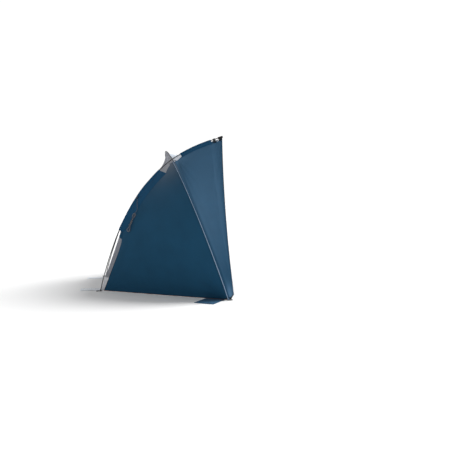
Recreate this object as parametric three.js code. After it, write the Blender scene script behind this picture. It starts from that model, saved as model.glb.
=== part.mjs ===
// A beach shelter as pitched: a wide open front, two side poles that run from the rear ground over the
// roof to the front corners, one leaning hoop pole that crosses over the middle, and sewn fabric panels
// between them. Millimetres. +X runs across the shelter, the open front faces -Y and +Z is up.
// The origin is on the ground below the centre of the overall box.
import * as THREE from "three";

const SIDES = { left: -1, right: 1 };

// Poles
const ROD_RADIUS = 3.95;
const ROD_BORE = 1.9;
const FERRULE_BORE = 4.6;
const FERRULE_RADIUS = 5.4;
const SHOCK_CORD_RADIUS = 1.1;
const STEPS_PER_ROD = 10;
const SIDE_POLE_RODS = 3;
const HOOP_RODS = 6;
const SIDE_POLE_X = 470;

// The hoop is half an ellipse in a plane that leans back.
const HOOP_HALF_WIDTH = 1085;
const HOOP_HALF_HEIGHT = 1166;
const HOOP_CENTRE_RISE = 150;
const HOOP_FOOT_FORWARD = 1033;
const HOOP_LEAN = THREE.MathUtils.degToRad(19.6);

// Pole ends: a domed tip at each end, and a cup on the roof corner that takes the front tip.
const TIP_RADIUS = 5.2;
const TIP_LENGTH = 15.5;
const TIP_CLEAR = 0.5;
const CUP_RADIUS = 9.5;
const CUP_BORE = 6.4;
const CUP_WALL = 3;
const CUP_LENGTH = 40;

// Fabric
const CLOTH = 1.5;
const GAP = 0.3;
const SLEEVE_BORE = 6.8;
const SLEEVE_RADIUS = 8.4;
const SEAM_INSET = 7.5;
const REAR_WALL_HEIGHT = 435;
const KICK_HEIGHT = 120;
const WRAP = { ground: 31, top: 52 };
const FRONT_HEM_BOW = 18;
const ROOF_HEM = { bow: 28, sag: 8 };

// Panel corners, and the space left between two panels where they are sewn together
const SEAM_SPACE = 3;
const VENT_SPACE = 4;
const GROUND_CLEAR = 1;
const CORNER_INSET = CUP_RADIUS + 2.5;
const REAR_CORNER = { across: 440, acrossTop: 456, forward: 2, forwardTop: 152 };
const SIDE_FOOT = { across: 1063, forward: HOOP_FOOT_FORWARD - 16 };
const WING_FOOT = { across: 1074, forward: HOOP_FOOT_FORWARD + 14 };
const FRONT_CORNER = { across: 1076, forward: 1067, up: 26 };
const SIDE_TOP = { across: 484, back: 25, up: -26 };
const WING_TOP = { across: 486, back: -35, up: -6 };
const GROUNDSHEET = { inset: 9, across: 1040, forward: HOOP_FOOT_FORWARD - 20 };

// Flat pieces on the ground
const FRONT_FLAP = { width: 165, length: 218, fromCorner: 18 };
const REAR_FLAP = { width: 120, length: 170, fromCorner: 4 };
const FLAP_SPACE = 3;
const STRAP_WIDTH = 20;
const STRAP_EYE = 7;

const FRONT_REACH = 1071;
const REAR_REACH = REAR_FLAP.length + SEAM_INSET - REAR_CORNER.forward;
const REAR_FOOT_Y = (FRONT_REACH - REAR_REACH) / 2;

const COLOURS = {
  sideFabric: [0x1b3d57, 0.75],
  wingFabric: [0x2f5478, 0.7],
  sleeveFabric: [0x1f4666, 0.75],
  mesh: [0x7c7f85, 0.9],
  groundsheet: [0xb9bcc2, 0.6],
  rearFlap: [0xd0d8e8, 0.7],
  webbing: [0x17181b, 0.85],
  fibreglass: [0x4b4c50, 0.45],
  ferrule: [0xb4b7bb, 0.3, 1],
  plastic: [0x101113, 0.5],
  elastic: [0xd9d9d4, 0.8],
  guyline: [0x5a5a62, 0.85],
};
const materials = Object.fromEntries(
  Object.entries(COLOURS).map(([name, [color, roughness, metalness = 0]]) => [
    name,
    new THREE.MeshStandardMaterial({ color, roughness, metalness }),
  ]),
);

const shelter = new THREE.Group();
const { lerp } = THREE.MathUtils;

function add(name, geometry, material) {
  const mesh = new THREE.Mesh(geometry, materials[material]);
  mesh.name = name;
  shelter.add(mesh);
  return mesh;
}

// A point given by its place across, its distance forward of the side poles' rear feet, and its height.
function at(across, forward, up) {
  return new THREE.Vector3(across, REAR_FOOT_Y - forward, up);
}

function line(from, to) {
  return (t) => from.clone().lerp(to, t);
}

// ---- Pole curves ----

const HOOP_START = -Math.asin(HOOP_CENTRE_RISE / HOOP_HALF_HEIGHT);

class HoopCurve extends THREE.Curve {
  getPoint(t, target = new THREE.Vector3()) {
    const angle = lerp(HOOP_START, Math.PI - HOOP_START, t);
    const rise = HOOP_CENTRE_RISE + HOOP_HALF_HEIGHT * Math.sin(angle);
    const forward = HOOP_FOOT_FORWARD - rise * Math.sin(HOOP_LEAN);
    return target.copy(at(-HOOP_HALF_WIDTH * Math.cos(angle), forward, rise * Math.cos(HOOP_LEAN)));
  }
}

// Part of a curve, from one distance along it to another.
class Stretch extends THREE.Curve {
  constructor(whole, from, to) {
    super();
    Object.assign(this, { whole, from, to });
  }
  getPoint(t, target = new THREE.Vector3()) {
    return this.whole.getPointAt(lerp(this.from, this.to, t) / this.whole.getLength(), target);
  }
}

const CURVE_DIVISIONS = 600;

function distanceAlong(curve, t) {
  return curve.getLengths(CURVE_DIVISIONS)[Math.round(t * CURVE_DIVISIONS)];
}

const hoop = new HoopCurve();
hoop.arcLengthDivisions = CURVE_DIVISIONS;

// The hoop passes under the side poles where it is as wide as they stand apart.
const hoopCrossingT = (Math.acos(SIDE_POLE_X / HOOP_HALF_WIDTH) - HOOP_START) / (Math.PI - 2 * HOOP_START);
const hoopCrossing = hoop.getPoint(hoopCrossingT);
const hoopCrossingAt = distanceAlong(hoop, hoopCrossingT);
const crossingForward = REAR_FOOT_Y - hoopCrossing.y;

// Side pole outline in its own upright plane: distance forward of the rear foot, and height.
const SIDE_POLE_OUTLINE = [
  [0, 0],
  [30, 127],
  [166, 530],
  [344, 848],
  [512, 1047],
  [crossingForward - 7, hoopCrossing.z + 9.5],
  [778, 1232],
  [922, 1294],
  [1065, 1342],
];
const [SLEEVE_END, VENT_EDGE, CROSSING] = [2, 4, 5];

function sidePole(side) {
  const points = SIDE_POLE_OUTLINE.map(([forward, up]) => at(side * SIDE_POLE_X, forward, up));
  const curve = new THREE.CatmullRomCurve3(points, false, "centripetal");
  curve.arcLengthDivisions = CURVE_DIVISIONS;
  return curve;
}
const sidePoles = { left: sidePole(-1), right: sidePole(1) };

function alongSidePole(index) {
  return distanceAlong(sidePoles.left, index / (SIDE_POLE_OUTLINE.length - 1));
}
const SIDE_POLE_LENGTH = sidePoles.left.getLength();
const sleeveEndAt = alongSidePole(SLEEVE_END);
const ventRearAt = alongSidePole(VENT_EDGE);
const poleCrossingAt = alongSidePole(CROSSING);
const ventFrontAt = poleCrossingAt + 95;
const frontSleeveEndAt = SIDE_POLE_LENGTH - 108;
const clipAt = SIDE_POLE_LENGTH - 78;
const roofCornerAt = SIDE_POLE_LENGTH - 6;

// Distances along the hoop from its foot and short of the crossing
const HOOP_SEAM = { fromFoot: 14, shortOf: 30 };
const HOOP_SLEEVE = { fromFoot: 50, shortOf: 25 };

// ---- Solids along a curve ----

function ring(radius, sides) {
  return Array.from({ length: sides }, (_, i) => {
    const angle = ((i + 0.5) / sides) * 2 * Math.PI;
    return new THREE.Vector2(radius * Math.cos(angle), radius * Math.sin(angle));
  });
}

function tube(curve, radius, sides, steps, bore = 0, boreSides = sides) {
  const section = new THREE.Shape(ring(radius, sides));
  if (bore) section.holes.push(new THREE.Path(ring(bore, boreSides)));
  return new THREE.ExtrudeGeometry(section, { steps, extrudePath: curve, bevelEnabled: false });
}

// A turned solid whose axis starts at a point on the curve and runs along it.
function turned(profile, segments, curve, distance, direction) {
  const geometry = new THREE.LatheGeometry(profile.map(([r, y]) => new THREE.Vector2(r, y)), segments);
  const share = distance / curve.getLength();
  const axis = curve.getTangentAt(share).multiplyScalar(direction);
  const turn = new THREE.Quaternion().setFromUnitVectors(new THREE.Vector3(0, 1, 0), axis);
  const place = curve.getPointAt(share);
  return geometry.applyMatrix4(new THREE.Matrix4().compose(place, turn, new THREE.Vector3(1, 1, 1)));
}

function tipProfile() {
  const dome = [0, 22.5, 45, 67.5, 90].map((degrees) => {
    const angle = THREE.MathUtils.degToRad(degrees);
    return [TIP_RADIUS * Math.sin(angle), TIP_RADIUS * (1 - Math.cos(angle))];
  });
  return [...dome, [TIP_RADIUS, TIP_LENGTH], [0, TIP_LENGTH]];
}

const CUP_PROFILE = [
  [0, -CUP_WALL],
  [CUP_RADIUS, -CUP_WALL],
  [CUP_RADIUS, CUP_LENGTH],
  [CUP_BORE, CUP_LENGTH],
  [CUP_BORE, 0],
  [0, 0],
];

// One shock-corded pole: its rods, the ferrules over their joints, the elastic inside and a tip at each end.
function addPole(prefix, curve, rodCount) {
  const length = curve.getLength();
  const first = TIP_CLEAR + TIP_LENGTH + GAP;
  const rodLength = (length - 2 * first) / rodCount;
  const step = rodLength / STEPS_PER_ROD;
  for (let i = 0; i < rodCount; i++) {
    const start = first + i * rodLength;
    const rod = new Stretch(curve, start + (i ? GAP : 0), start + rodLength);
    add(`${prefix}_rod_${i + 1}`, tube(rod, ROD_RADIUS, 8, STEPS_PER_ROD, ROD_BORE, 6), "fibreglass");
  }
  for (let i = 1; i < rodCount; i++) {
    const joint = first + i * rodLength;
    const ferrule = new Stretch(curve, joint - step, joint + step);
    add(`${prefix}_ferrule_${i}`, tube(ferrule, FERRULE_RADIUS, 8, 2, FERRULE_BORE), "ferrule");
  }
  const cord = new Stretch(curve, first, length - first);
  add(`${prefix}_shock_cord`, tube(cord, SHOCK_CORD_RADIUS, 4, STEPS_PER_ROD * rodCount), "elastic");
}

function addTips(curve, names) {
  const length = curve.getLength();
  add(names[0], turned(tipProfile(), 10, curve, TIP_CLEAR, 1), "plastic");
  add(names[1], turned(tipProfile(), 10, curve, length - TIP_CLEAR, -1), "plastic");
}

// ---- Fabric slabs ----

// The mean of a surface's directions on each side of a point, so that a fold gets the middle one.
function normalAt(surface, u, v) {
  const reach = 1e-3;
  const here = surface(u, v);
  const normal = new THREE.Vector3();
  for (const du of [-reach, reach])
    for (const dv of [-reach, reach]) {
      if (u + du < 0 || u + du > 1 || v + dv < 0 || v + dv > 1) continue;
      const alongU = surface(u + du, v).sub(here).multiplyScalar(Math.sign(du));
      const alongV = surface(u, v + dv).sub(here).multiplyScalar(Math.sign(dv));
      normal.add(alongU.cross(alongV).normalize());
    }
  return normal.normalize();
}

// A closed slab of cloth over a grid of points of surface(u, v), half its thickness to each side. Both faces
// are cut along the same diagonals, so the cloth keeps its thickness where the grid is twisted.
function slab(surface, columns, rows, thickness = CLOTH) {
  const [front, back] = [[], []];
  for (let j = 0; j <= rows; j++)
    for (let i = 0; i <= columns; i++) {
      const [u, v] = [i / columns, j / rows];
      const normal = normalAt(surface, u, v);
      front.push(surface(u, v).addScaledVector(normal, thickness / 2));
      back.push(surface(u, v).addScaledVector(normal, -thickness / 2));
    }
  const points = [...front, ...back];
  const index = [];
  const vertex = (i, j) => j * (columns + 1) + i;
  const quad = (a, b, c, d) => index.push(a, b, c, a, c, d);
  for (let j = 0; j < rows; j++)
    for (let i = 0; i < columns; i++) {
      const [a, b, c, d] = [vertex(i, j), vertex(i + 1, j), vertex(i + 1, j + 1), vertex(i, j + 1)];
      quad(a, b, c, d);
      quad(...[a, d, c, b].map((k) => k + front.length));
    }
  const rim = [
    ...Array.from({ length: columns }, (_, i) => vertex(i, 0)),
    ...Array.from({ length: rows }, (_, j) => vertex(columns, j)),
    ...Array.from({ length: columns }, (_, i) => vertex(columns - i, rows)),
    ...Array.from({ length: rows }, (_, j) => vertex(0, rows - j)),
  ];
  rim.forEach((a, i) => {
    const b = rim[(i + 1) % rim.length];
    quad(b, a, a + front.length, b + front.length);
  });
  const geometry = new THREE.BufferGeometry().setFromPoints(points).setIndex(index);
  geometry.computeVertexNormals();
  return geometry;
}

// A surface inside four edges that meet at its corners.
function between({ bottom, top, left, right }) {
  const corners = [bottom(0), bottom(1), top(0), top(1)];
  return (u, v) => {
    const point = bottom(u).multiplyScalar(1 - v).addScaledVector(top(u), v);
    point.addScaledVector(left(v), 1 - u).addScaledVector(right(v), u);
    [(1 - u) * (1 - v), u * (1 - v), (1 - u) * v, u * v].forEach((share, i) =>
      point.addScaledVector(corners[i], -share),
    );
    return point;
  };
}

// The same edge with its ends moved to two given corners, and little moved in between.
function pinned(edge, start, end) {
  const [toStart, toEnd] = [start.clone().sub(edge(0)), end.clone().sub(edge(1))];
  return (t) => edge(t).addScaledVector(toStart, (1 - t) ** 8).addScaledVector(toEnd, t ** 8);
}

// ---- Seams ----

// Beside a side pole: so far outboard of it, and so far on its inner side.
function besidePole(side, from, to, outboard, inner) {
  const curve = side < 0 ? sidePoles.left : sidePoles.right;
  return (t) => {
    const share = lerp(from, to, t) / SIDE_POLE_LENGTH;
    const tangent = curve.getTangentAt(share);
    const point = curve.getPointAt(share);
    return point.add(new THREE.Vector3(side * outboard, -inner * tangent.z, inner * tangent.y));
  };
}

// Beside the hoop, from its foot to just short of the crossing, so far forward of it.
function besideHoop(side, forward) {
  const length = hoop.getLength();
  return (t) => {
    const distance = lerp(HOOP_SEAM.fromFoot, hoopCrossingAt - HOOP_SEAM.shortOf, t);
    const share = (side < 0 ? distance : length - distance) / length;
    return hoop.getPointAt(share).add(new THREE.Vector3(0, -forward, 0));
  };
}

// The shelter's rear corner line, which leans forward and outward, at a height.
function rearCorner(side, up) {
  const { across, acrossTop, forward, forwardTop } = REAR_CORNER;
  const share = up / REAR_WALL_HEIGHT;
  return at(side * lerp(across, acrossTop, share), lerp(forward, forwardTop, share), up);
}

// How far the rear wall goes round the corner at a height.
function wrapAt(up) {
  return lerp(WRAP.ground, WRAP.top, up / REAR_WALL_HEIGHT);
}

// A point on the side wall just round the rear corner.
function roundCorner(side, up, distance) {
  const alongSide = new THREE.Vector3(side * 0.53, -0.85, 0);
  return rearCorner(side, up).addScaledVector(alongSide, distance);
}

// Across the roof from one side pole to the other, raised and bowed forward in the middle.
function acrossRoof(distance, rise, forward) {
  const ends = [-1, 1].map((side) => besidePole(side, distance, distance, -SEAM_INSET, SEAM_INSET)(0));
  return (t) => {
    const bow = 4 * t * (1 - t);
    return ends[0].clone().lerp(ends[1], t).add(new THREE.Vector3(0, -forward * bow, rise * bow));
  };
}

function byCrossing(side, { across, back, up }) {
  return hoopCrossing.clone().setX(side * across).add(new THREE.Vector3(0, back, up));
}

// ---- Panels ----

function sidePanel(side) {
  const topUp = REAR_WALL_HEIGHT - 20;
  const foot = at(side * SIDE_FOOT.across, SIDE_FOOT.forward, GROUND_CLEAR);
  const rearFoot = roundCorner(side, GROUND_CLEAR, wrapAt(GROUND_CLEAR) + SEAM_SPACE);
  const rearTop = roundCorner(side, topUp, wrapAt(topUp) + 3 * SEAM_SPACE);
  const top = byCrossing(side, SIDE_TOP);
  const underPole = besidePole(side, sleeveEndAt - 30, poleCrossingAt - 20, SEAM_INSET, SEAM_INSET);
  return between({
    bottom: line(rearFoot, foot),
    top: pinned(underPole, rearTop, top),
    left: line(rearFoot, rearTop),
    right: pinned(besideHoop(side, -12), foot, top),
  });
}

function frontCorner(side) {
  return at(side * FRONT_CORNER.across, FRONT_CORNER.forward, FRONT_CORNER.up);
}

function frontHem(side, roofCorner) {
  const straight = line(frontCorner(side), roofCorner);
  return (t) => straight(t).add(new THREE.Vector3(0, 4 * t * (1 - t) * FRONT_HEM_BOW, 0));
}

function frontWing(side) {
  const foot = at(side * WING_FOOT.across, WING_FOOT.forward, GROUND_CLEAR + 2);
  const underPole = besidePole(side, poleCrossingAt + 20, roofCornerAt, CORNER_INSET, CORNER_INSET);
  const roofCorner = underPole(1);
  const top = byCrossing(side, WING_TOP);
  return between({
    bottom: line(foot, frontCorner(side)),
    top: pinned(underPole, top, roofCorner),
    left: pinned(besideHoop(side, 12), foot, top),
    right: frontHem(side, roofCorner),
  });
}

// How far the roof's edges beside the vent rise and bow forward in the middle.
const VENT_EDGES = { rear: [29, 11], front: [10, 0] };

function roofFront() {
  const start = ventFrontAt + SEAM_SPACE;
  const edge = (side) => besidePole(side, start, roofCornerAt, -CORNER_INSET, CORNER_INSET);
  const [left, right] = [edge(-1), edge(1)];
  const hem = line(left(1), right(1));
  const bow = new THREE.Vector3(0, ROOF_HEM.bow, -ROOF_HEM.sag);
  return between({
    bottom: pinned(acrossRoof(start, ...VENT_EDGES.front), left(0), right(0)),
    top: (t) => hem(t).addScaledVector(bow, 4 * t * (1 - t)),
    left,
    right,
  });
}

function rearUpper() {
  const [low, end] = [REAR_WALL_HEIGHT + SEAM_SPACE, ventRearAt - SEAM_SPACE];
  const edge = (side) => {
    const underPole = besidePole(side, sleeveEndAt - 35, end, -SEAM_INSET, SEAM_INSET);
    return pinned(underPole, rearCorner(side, low), underPole(1));
  };
  return between({
    bottom: line(rearCorner(-1, low), rearCorner(1, low)),
    top: acrossRoof(end, ...VENT_EDGES.rear),
    left: edge(-1),
    right: edge(1),
  });
}

// The vent stands up to the hoop from both roof edges, flat at first and steeper near the hoop.
function vent() {
  const STEEPNESS = { rear: { forward: 2, up: 1.1 }, front: { forward: 1.3, up: 1.3 } };
  const rear = acrossRoof(ventRearAt + VENT_SPACE, ...VENT_EDGES.rear);
  const front = acrossRoof(ventFrontAt - VENT_SPACE, ...VENT_EDGES.front);
  const start = hoopCrossingAt / hoop.getLength() + 0.006;
  const ridge = (t) => hoop.getPointAt(lerp(start, 1 - start, t)).add(new THREE.Vector3(0, -2.2, -6.5));
  return (u, v) => {
    const behind = v < 0.5;
    const edge = behind ? rear(u) : front(u);
    const climb = behind ? 2 * v : 2 - 2 * v;
    const steepness = behind ? STEEPNESS.rear : STEEPNESS.front;
    const top = ridge(u);
    return new THREE.Vector3(
      lerp(edge.x, top.x, climb),
      lerp(edge.y, top.y, 1 - (1 - climb) ** steepness.forward),
      lerp(edge.z, top.z, climb ** steepness.up),
    );
  };
}

// The rear wall between two heights, wrapped a little way round both corners.
function rearWall(low, high) {
  const WRAPPED = 0.125;
  return (u, v) => {
    const up = lerp(low, high, v);
    const wrap = wrapAt(up);
    if (u < WRAPPED) return roundCorner(-1, up, wrap * (1 - u / WRAPPED));
    if (u > 1 - WRAPPED) return roundCorner(1, up, (wrap * (u - 1 + WRAPPED)) / WRAPPED);
    return rearCorner(-1, up).lerp(rearCorner(1, up), (u - WRAPPED) / (1 - 2 * WRAPPED));
  };
}

function groundsheet() {
  const { inset, across, forward } = GROUNDSHEET;
  const rear = (side) => at(side * (REAR_CORNER.across - inset), REAR_CORNER.forward + inset, CLOTH / 2);
  const front = (side) => at(side * across, forward, CLOTH / 2);
  return between({
    bottom: line(front(-1), front(1)),
    top: line(rear(-1), rear(1)),
    left: line(front(-1), rear(-1)),
    right: line(front(1), rear(1)),
  });
}

// ---- Pieces on the ground ----

// A flat plate cut to an outline in the ground plane, with its underside just above the ground.
function plate(outline, thickness = CLOTH) {
  const geometry = new THREE.ExtrudeGeometry(outline, {
    depth: thickness,
    bevelEnabled: false,
    curveSegments: 8,
  });
  return geometry.translate(0, 0, GAP);
}

// A rectangle that starts on a seam and runs outward from it.
function flapOutline(seamStart, alongSeam, outward, { width, length }) {
  const place = (w, l) => {
    const point = seamStart.clone().addScaledVector(alongSeam, w).addScaledVector(outward, l);
    return new THREE.Vector2(point.x, point.y);
  };
  return new THREE.Shape([place(0, 0), place(width, 0), place(width, length), place(0, length)]);
}

function frontFlap(side) {
  const foot = at(side * SIDE_FOOT.across, SIDE_FOOT.forward, 0);
  const rearward = rearCorner(side, 0).sub(foot).normalize();
  const outward = new THREE.Vector3(side * rearward.y, -side * rearward.x, 0);
  const start = foot.addScaledVector(rearward, FRONT_FLAP.fromCorner).addScaledVector(outward, FLAP_SPACE);
  return flapOutline(start, rearward, outward, FRONT_FLAP);
}

function rearFlap(side) {
  const start = at(side * (REAR_CORNER.across - REAR_FLAP.fromCorner), REAR_CORNER.forward - SEAM_INSET, 0);
  return flapOutline(start, new THREE.Vector3(-side, 0, 0), new THREE.Vector3(0, 1, 0), REAR_FLAP);
}

// A strap with a round end and an eye that drops over a pole tip.
function strap(eye, end) {
  const angle = Math.atan2(end.y - eye.y, end.x - eye.x);
  const outline = new THREE.Shape();
  const across = new THREE.Vector2(-Math.sin(angle), Math.cos(angle)).multiplyScalar(STRAP_WIDTH / 2);
  outline.absarc(eye.x, eye.y, STRAP_WIDTH / 2, angle + Math.PI / 2, angle + 1.5 * Math.PI, false);
  outline.lineTo(end.x - across.x, end.y - across.y);
  outline.lineTo(end.x + across.x, end.y + across.y);
  const hole = new THREE.Path();
  hole.absarc(eye.x, eye.y, STRAP_EYE, 0, 2 * Math.PI, true);
  outline.holes.push(hole);
  return plate(outline);
}

// ---- Clip and guyline ----

// A hook closed round the pole, with a flat tab below it that the fabric is sewn to.
function clip(side) {
  const [outer, bore, tab, depth] = [8, 4.9, 26, 22];
  const body = new THREE.Shape();
  body.absarc(0, 0, outer, Math.PI, 0, false);
  body.lineTo(outer * 0.6, tab);
  body.lineTo(-outer * 0.6, tab);
  const hole = new THREE.Path();
  hole.absarc(0, 0, bore, 0, 2 * Math.PI, true);
  body.holes.push(hole);
  const curve = side < 0 ? sidePoles.left : sidePoles.right;
  const path = new Stretch(curve, clipAt - depth / 2, clipAt + depth / 2);
  return new THREE.ExtrudeGeometry(body, { steps: 1, extrudePath: path, curveSegments: 6 });
}

// The guyline hangs from the left sleeve seam to the hank. The points are across, forward and height.
const GUYLINE_DIAMETER = 3;
const GUYLINE_ROUTE = [
  [-487, 319, 799],
  [-504, 319, 775],
  [-521, 319, 752],
  [-537, 319, 728],
  [-552, 318, 704],
  [-554, 309, 689],
  [-552, 299, 680],
].map((point) => at(...point));
const HANK = { top: at(-552, 297, 676), bottom: at(-553, 237, 517), width: 40, waist: 13, thickness: 11 };
const HANK_OUTWARD = new THREE.Vector3(-0.85, 0.45, 0.25);

// The outer shape of the wound cord: two round loops and a narrow bound waist.
function hankSolid() {
  const { top, bottom, width, waist, thickness } = HANK;
  const length = top.distanceTo(bottom);
  const [radius, spread] = [width / 2, Math.acos(waist / width)];
  const outline = new THREE.Shape();
  outline.absarc(radius, 0, radius, spread, 2 * Math.PI - spread, false);
  outline.absarc(length - radius, 0, radius, Math.PI + spread, Math.PI - spread, false);
  const along = bottom.clone().sub(top).normalize();
  const outward = HANK_OUTWARD.clone().addScaledVector(along, -HANK_OUTWARD.dot(along)).normalize();
  const geometry = new THREE.ExtrudeGeometry(outline, {
    depth: thickness,
    bevelEnabled: false,
    curveSegments: 12,
  });
  const axes = new THREE.Matrix4().makeBasis(along, outward.clone().cross(along), outward);
  return geometry.translate(0, 0, -thickness / 2).applyMatrix4(axes.setPosition(top));
}

// ---- Assembly ----

for (const [name, side] of Object.entries(SIDES)) {
  const curve = sidePoles[name];
  addPole(`${name}_pole`, curve, SIDE_POLE_RODS);
  addTips(curve, [`${name}_rear_foot_tip`, `${name}_roof_tip`]);
  add(`${name}_roof_cup`, turned(CUP_PROFILE, 12, curve, SIDE_POLE_LENGTH, -1), "plastic");
  add(`${name}_roof_clip`, clip(side), "plastic");

  const rearSleeve = new Stretch(curve, sleeveEndAt, ventRearAt);
  const frontSleeve = new Stretch(curve, ventFrontAt, frontSleeveEndAt);
  add(`${name}_rear_sleeve`, tube(rearSleeve, SLEEVE_RADIUS, 8, 12, SLEEVE_BORE), "sleeveFabric");
  add(`${name}_front_sleeve`, tube(frontSleeve, SLEEVE_RADIUS, 8, 6, SLEEVE_BORE), "sleeveFabric");

  const fromFoot = (distance) => (side < 0 ? distance : hoop.getLength() - distance);
  const hoopSleeveEnd = hoopCrossingAt - HOOP_SLEEVE.shortOf;
  const hoopSleeve = new Stretch(hoop, fromFoot(HOOP_SLEEVE.fromFoot), fromFoot(hoopSleeveEnd));
  add(`${name}_hoop_sleeve`, tube(hoopSleeve, SLEEVE_RADIUS, 8, 18, SLEEVE_BORE), "sleeveFabric");

  add(`${name}_side_panel`, slab(sidePanel(side), 10, 10), "sideFabric");
  add(`${name}_front_wing`, slab(frontWing(side), 8, 10), "wingFabric");

  add(`${name}_front_flap`, plate(frontFlap(side)), "wingFabric");
  add(`${name}_rear_flap`, plate(rearFlap(side)), "rearFlap");
  const rearFoot = curve.getPointAt(0);
  const hoopFoot = hoop.getPointAt(fromFoot(0) / hoop.getLength());
  add(`${name}_rear_foot_strap`, strap(rearFoot, at(side * 449, 10, 0)), "webbing");
  add(`${name}_hoop_foot_strap`, strap(hoopFoot, at(side * 1062, 1022, 0)), "webbing");
}

addPole("hoop", hoop, HOOP_RODS);
addTips(hoop, ["left_hoop_foot_tip", "right_hoop_foot_tip"]);

add("roof_panel", slab(roofFront(), 8, 5), "sideFabric");
add("rear_panel", slab(rearUpper(), 8, 8), "sideFabric");
add("vent_mesh", slab(vent(), 10, 10), "mesh");
add("rear_window_mesh", slab(rearWall(KICK_HEIGHT + 2, REAR_WALL_HEIGHT), 8, 3), "mesh");
add("rear_kick_strip", slab(rearWall(GROUND_CLEAR, KICK_HEIGHT), 8, 1), "groundsheet");
add("groundsheet", slab(groundsheet(), 4, 4), "groundsheet");

const guyline = new THREE.CatmullRomCurve3(GUYLINE_ROUTE);
add("guyline", tube(guyline, GUYLINE_DIAMETER / 2, 8, 14), "guyline");
add("guyline_hank", hankSolid(), "guyline");

export default shelter;
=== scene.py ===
"""Looks of a beach tarp shelter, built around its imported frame. Metres, +Z up, the open front faces -Y."""

import math
from typing import NamedTuple

import bpy
import numpy as np
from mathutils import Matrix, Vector


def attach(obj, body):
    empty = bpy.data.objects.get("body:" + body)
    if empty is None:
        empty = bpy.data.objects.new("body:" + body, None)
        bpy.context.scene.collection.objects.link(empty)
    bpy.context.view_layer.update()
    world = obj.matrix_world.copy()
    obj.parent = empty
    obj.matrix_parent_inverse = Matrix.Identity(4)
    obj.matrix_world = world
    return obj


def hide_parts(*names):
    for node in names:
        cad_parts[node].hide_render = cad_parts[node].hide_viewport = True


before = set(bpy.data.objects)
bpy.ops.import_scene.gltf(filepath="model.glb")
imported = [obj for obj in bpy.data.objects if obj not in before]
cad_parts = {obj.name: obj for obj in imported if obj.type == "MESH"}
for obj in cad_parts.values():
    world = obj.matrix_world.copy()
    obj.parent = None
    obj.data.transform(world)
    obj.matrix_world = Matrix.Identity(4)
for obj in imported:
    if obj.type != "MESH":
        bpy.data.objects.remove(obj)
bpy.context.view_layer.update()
studio = bpy.context.scene

# ---- Driving dimensions, as in the part ----

SIDES = {"left": -1, "right": 1}
HOOP_RODS = {-1: "hoop_rod_1", 1: "hoop_rod_6"}
SIDE_POLE_X = 0.470
HOOP_HALF_WIDTH = 1.085
HOOP_HALF_HEIGHT = 1.166
HOOP_CENTRE_RISE = 0.150
HOOP_FOOT_FORWARD = 1.033
HOOP_LEAN = math.radians(19.6)
ROD_RADIUS = 0.00395
FERRULE_RADIUS = 0.0054
FERRULE_ROLLED_RADIUS = 0.0047
SHOCK_CORD_RADIUS = 0.0011
TIP_RADIUS = 0.0052
TIP_LENGTH = 0.0155
TIP_CLEAR = 0.0005
CUP_RADIUS = 0.0095
CUP_BORE = 0.0064
CUP_WALL = 0.003
CUP_LENGTH = 0.040
GAP = 0.0003
SLEEVE_RADIUS = 0.0072
SEAM_INSET = 0.0075
CORNER_INSET = CUP_RADIUS + 0.0025
REAR_WALL_HEIGHT = 0.435
KICK_HEIGHT = 0.120
REAR_PANEL_HEIGHT = 0.465
CORNER_WRAP = (0.031, 0.052)
FRONT_HEM_BOW = 0.018
ROOF_HEM_BOW = 0.028
GROUND_CLEAR = 0.001
FRONT_FLAP = {"width": 0.165, "length": 0.218, "from_corner": 0.018}
REAR_FLAP = {"width": 0.120, "length": 0.170, "from_corner": 0.004}
FLAP_SPACE = 0.003
FLAP_HEM_START = 0.09
FRONT_REACH = 1.071
REAR_CORNER = {"across": (0.440, 0.456), "forward": (0.002, 0.152)}
REAR_FOOT_Y = (FRONT_REACH - (REAR_FLAP["length"] + SEAM_INSET - REAR_CORNER["forward"][0])) / 2

# ---- Cloth ----

CLOTH = 0.0006
COVER = 0.0009
HEM = 0.018
HEM_LIFT = 0.0007
HEM_THICKNESS = 0.0011
BINDING_THICKNESS = 0.0026
PATCH_LIFT = 0.0012
PATCH_THICKNESS = 0.0016
STITCH_PITCH = 0.0042
STITCH_LENGTH = STITCH_PITCH * 0.62
STITCH_WIDTH = 0.0008
STITCH_LIFT = 0.0014
REAR_SLEEVE_BAND = (0.074, 0.112)
FRONT_SLEEVE_BAND = (0.050, 0.042)
SLEEVE_BAND_ROOF = 0.024
SLEEVE_STEP = 0.006
SLEEVE_PUCKERS = ((0.0005, 0.031), (0.0004, 0.0173))
SLEEVE_MIDWAY = 0.45
SLEEVE_LIFTS = {"edge": 0.0012, "midway": 0.0026}
SLANT_FADES = 0.06
STITCHED_IN = 0.016
CORNER_DIP = 0.012
VENT_INSET = 0.0045
VENT_STEEPNESS = {"rear": (2, 1.1), "front": (1.3, 1.3)}
STRAP_WIDTH = 0.020
STRAP_EYE = 0.007
EVEN = np.linspace(0, 1, 111)


def at(across, forward, up):
    """A point by its place across, its distance forward of the rear feet, and its height."""
    return np.array([across, REAR_FOOT_Y - forward, up], float)


def lerp(start, end, share):
    return start + (end - start) * share


def unit(vectors):
    return vectors / np.maximum(np.linalg.norm(vectors, axis=-1, keepdims=True), 1e-12)


# ---- Camera, floor and light ----

CAMERA_PLACE = (-5.728, REAR_FOOT_Y - 0.3063, 0.831)
CAMERA = {"pitch": 2.865, "yaw": 8.468, "lens": 48, "sensor": 36}
SKY_STRENGTH = 0.47
SUN = {"energy": 3.6, "spread": math.radians(38), "towards": Vector((0.30, -0.66, 0.68))}
FLOOR_TONE = 0.93
FLOOR_DROP = 0.0005
FLOOR_REACH = 60
BACKDROP_REACH = 58


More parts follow.
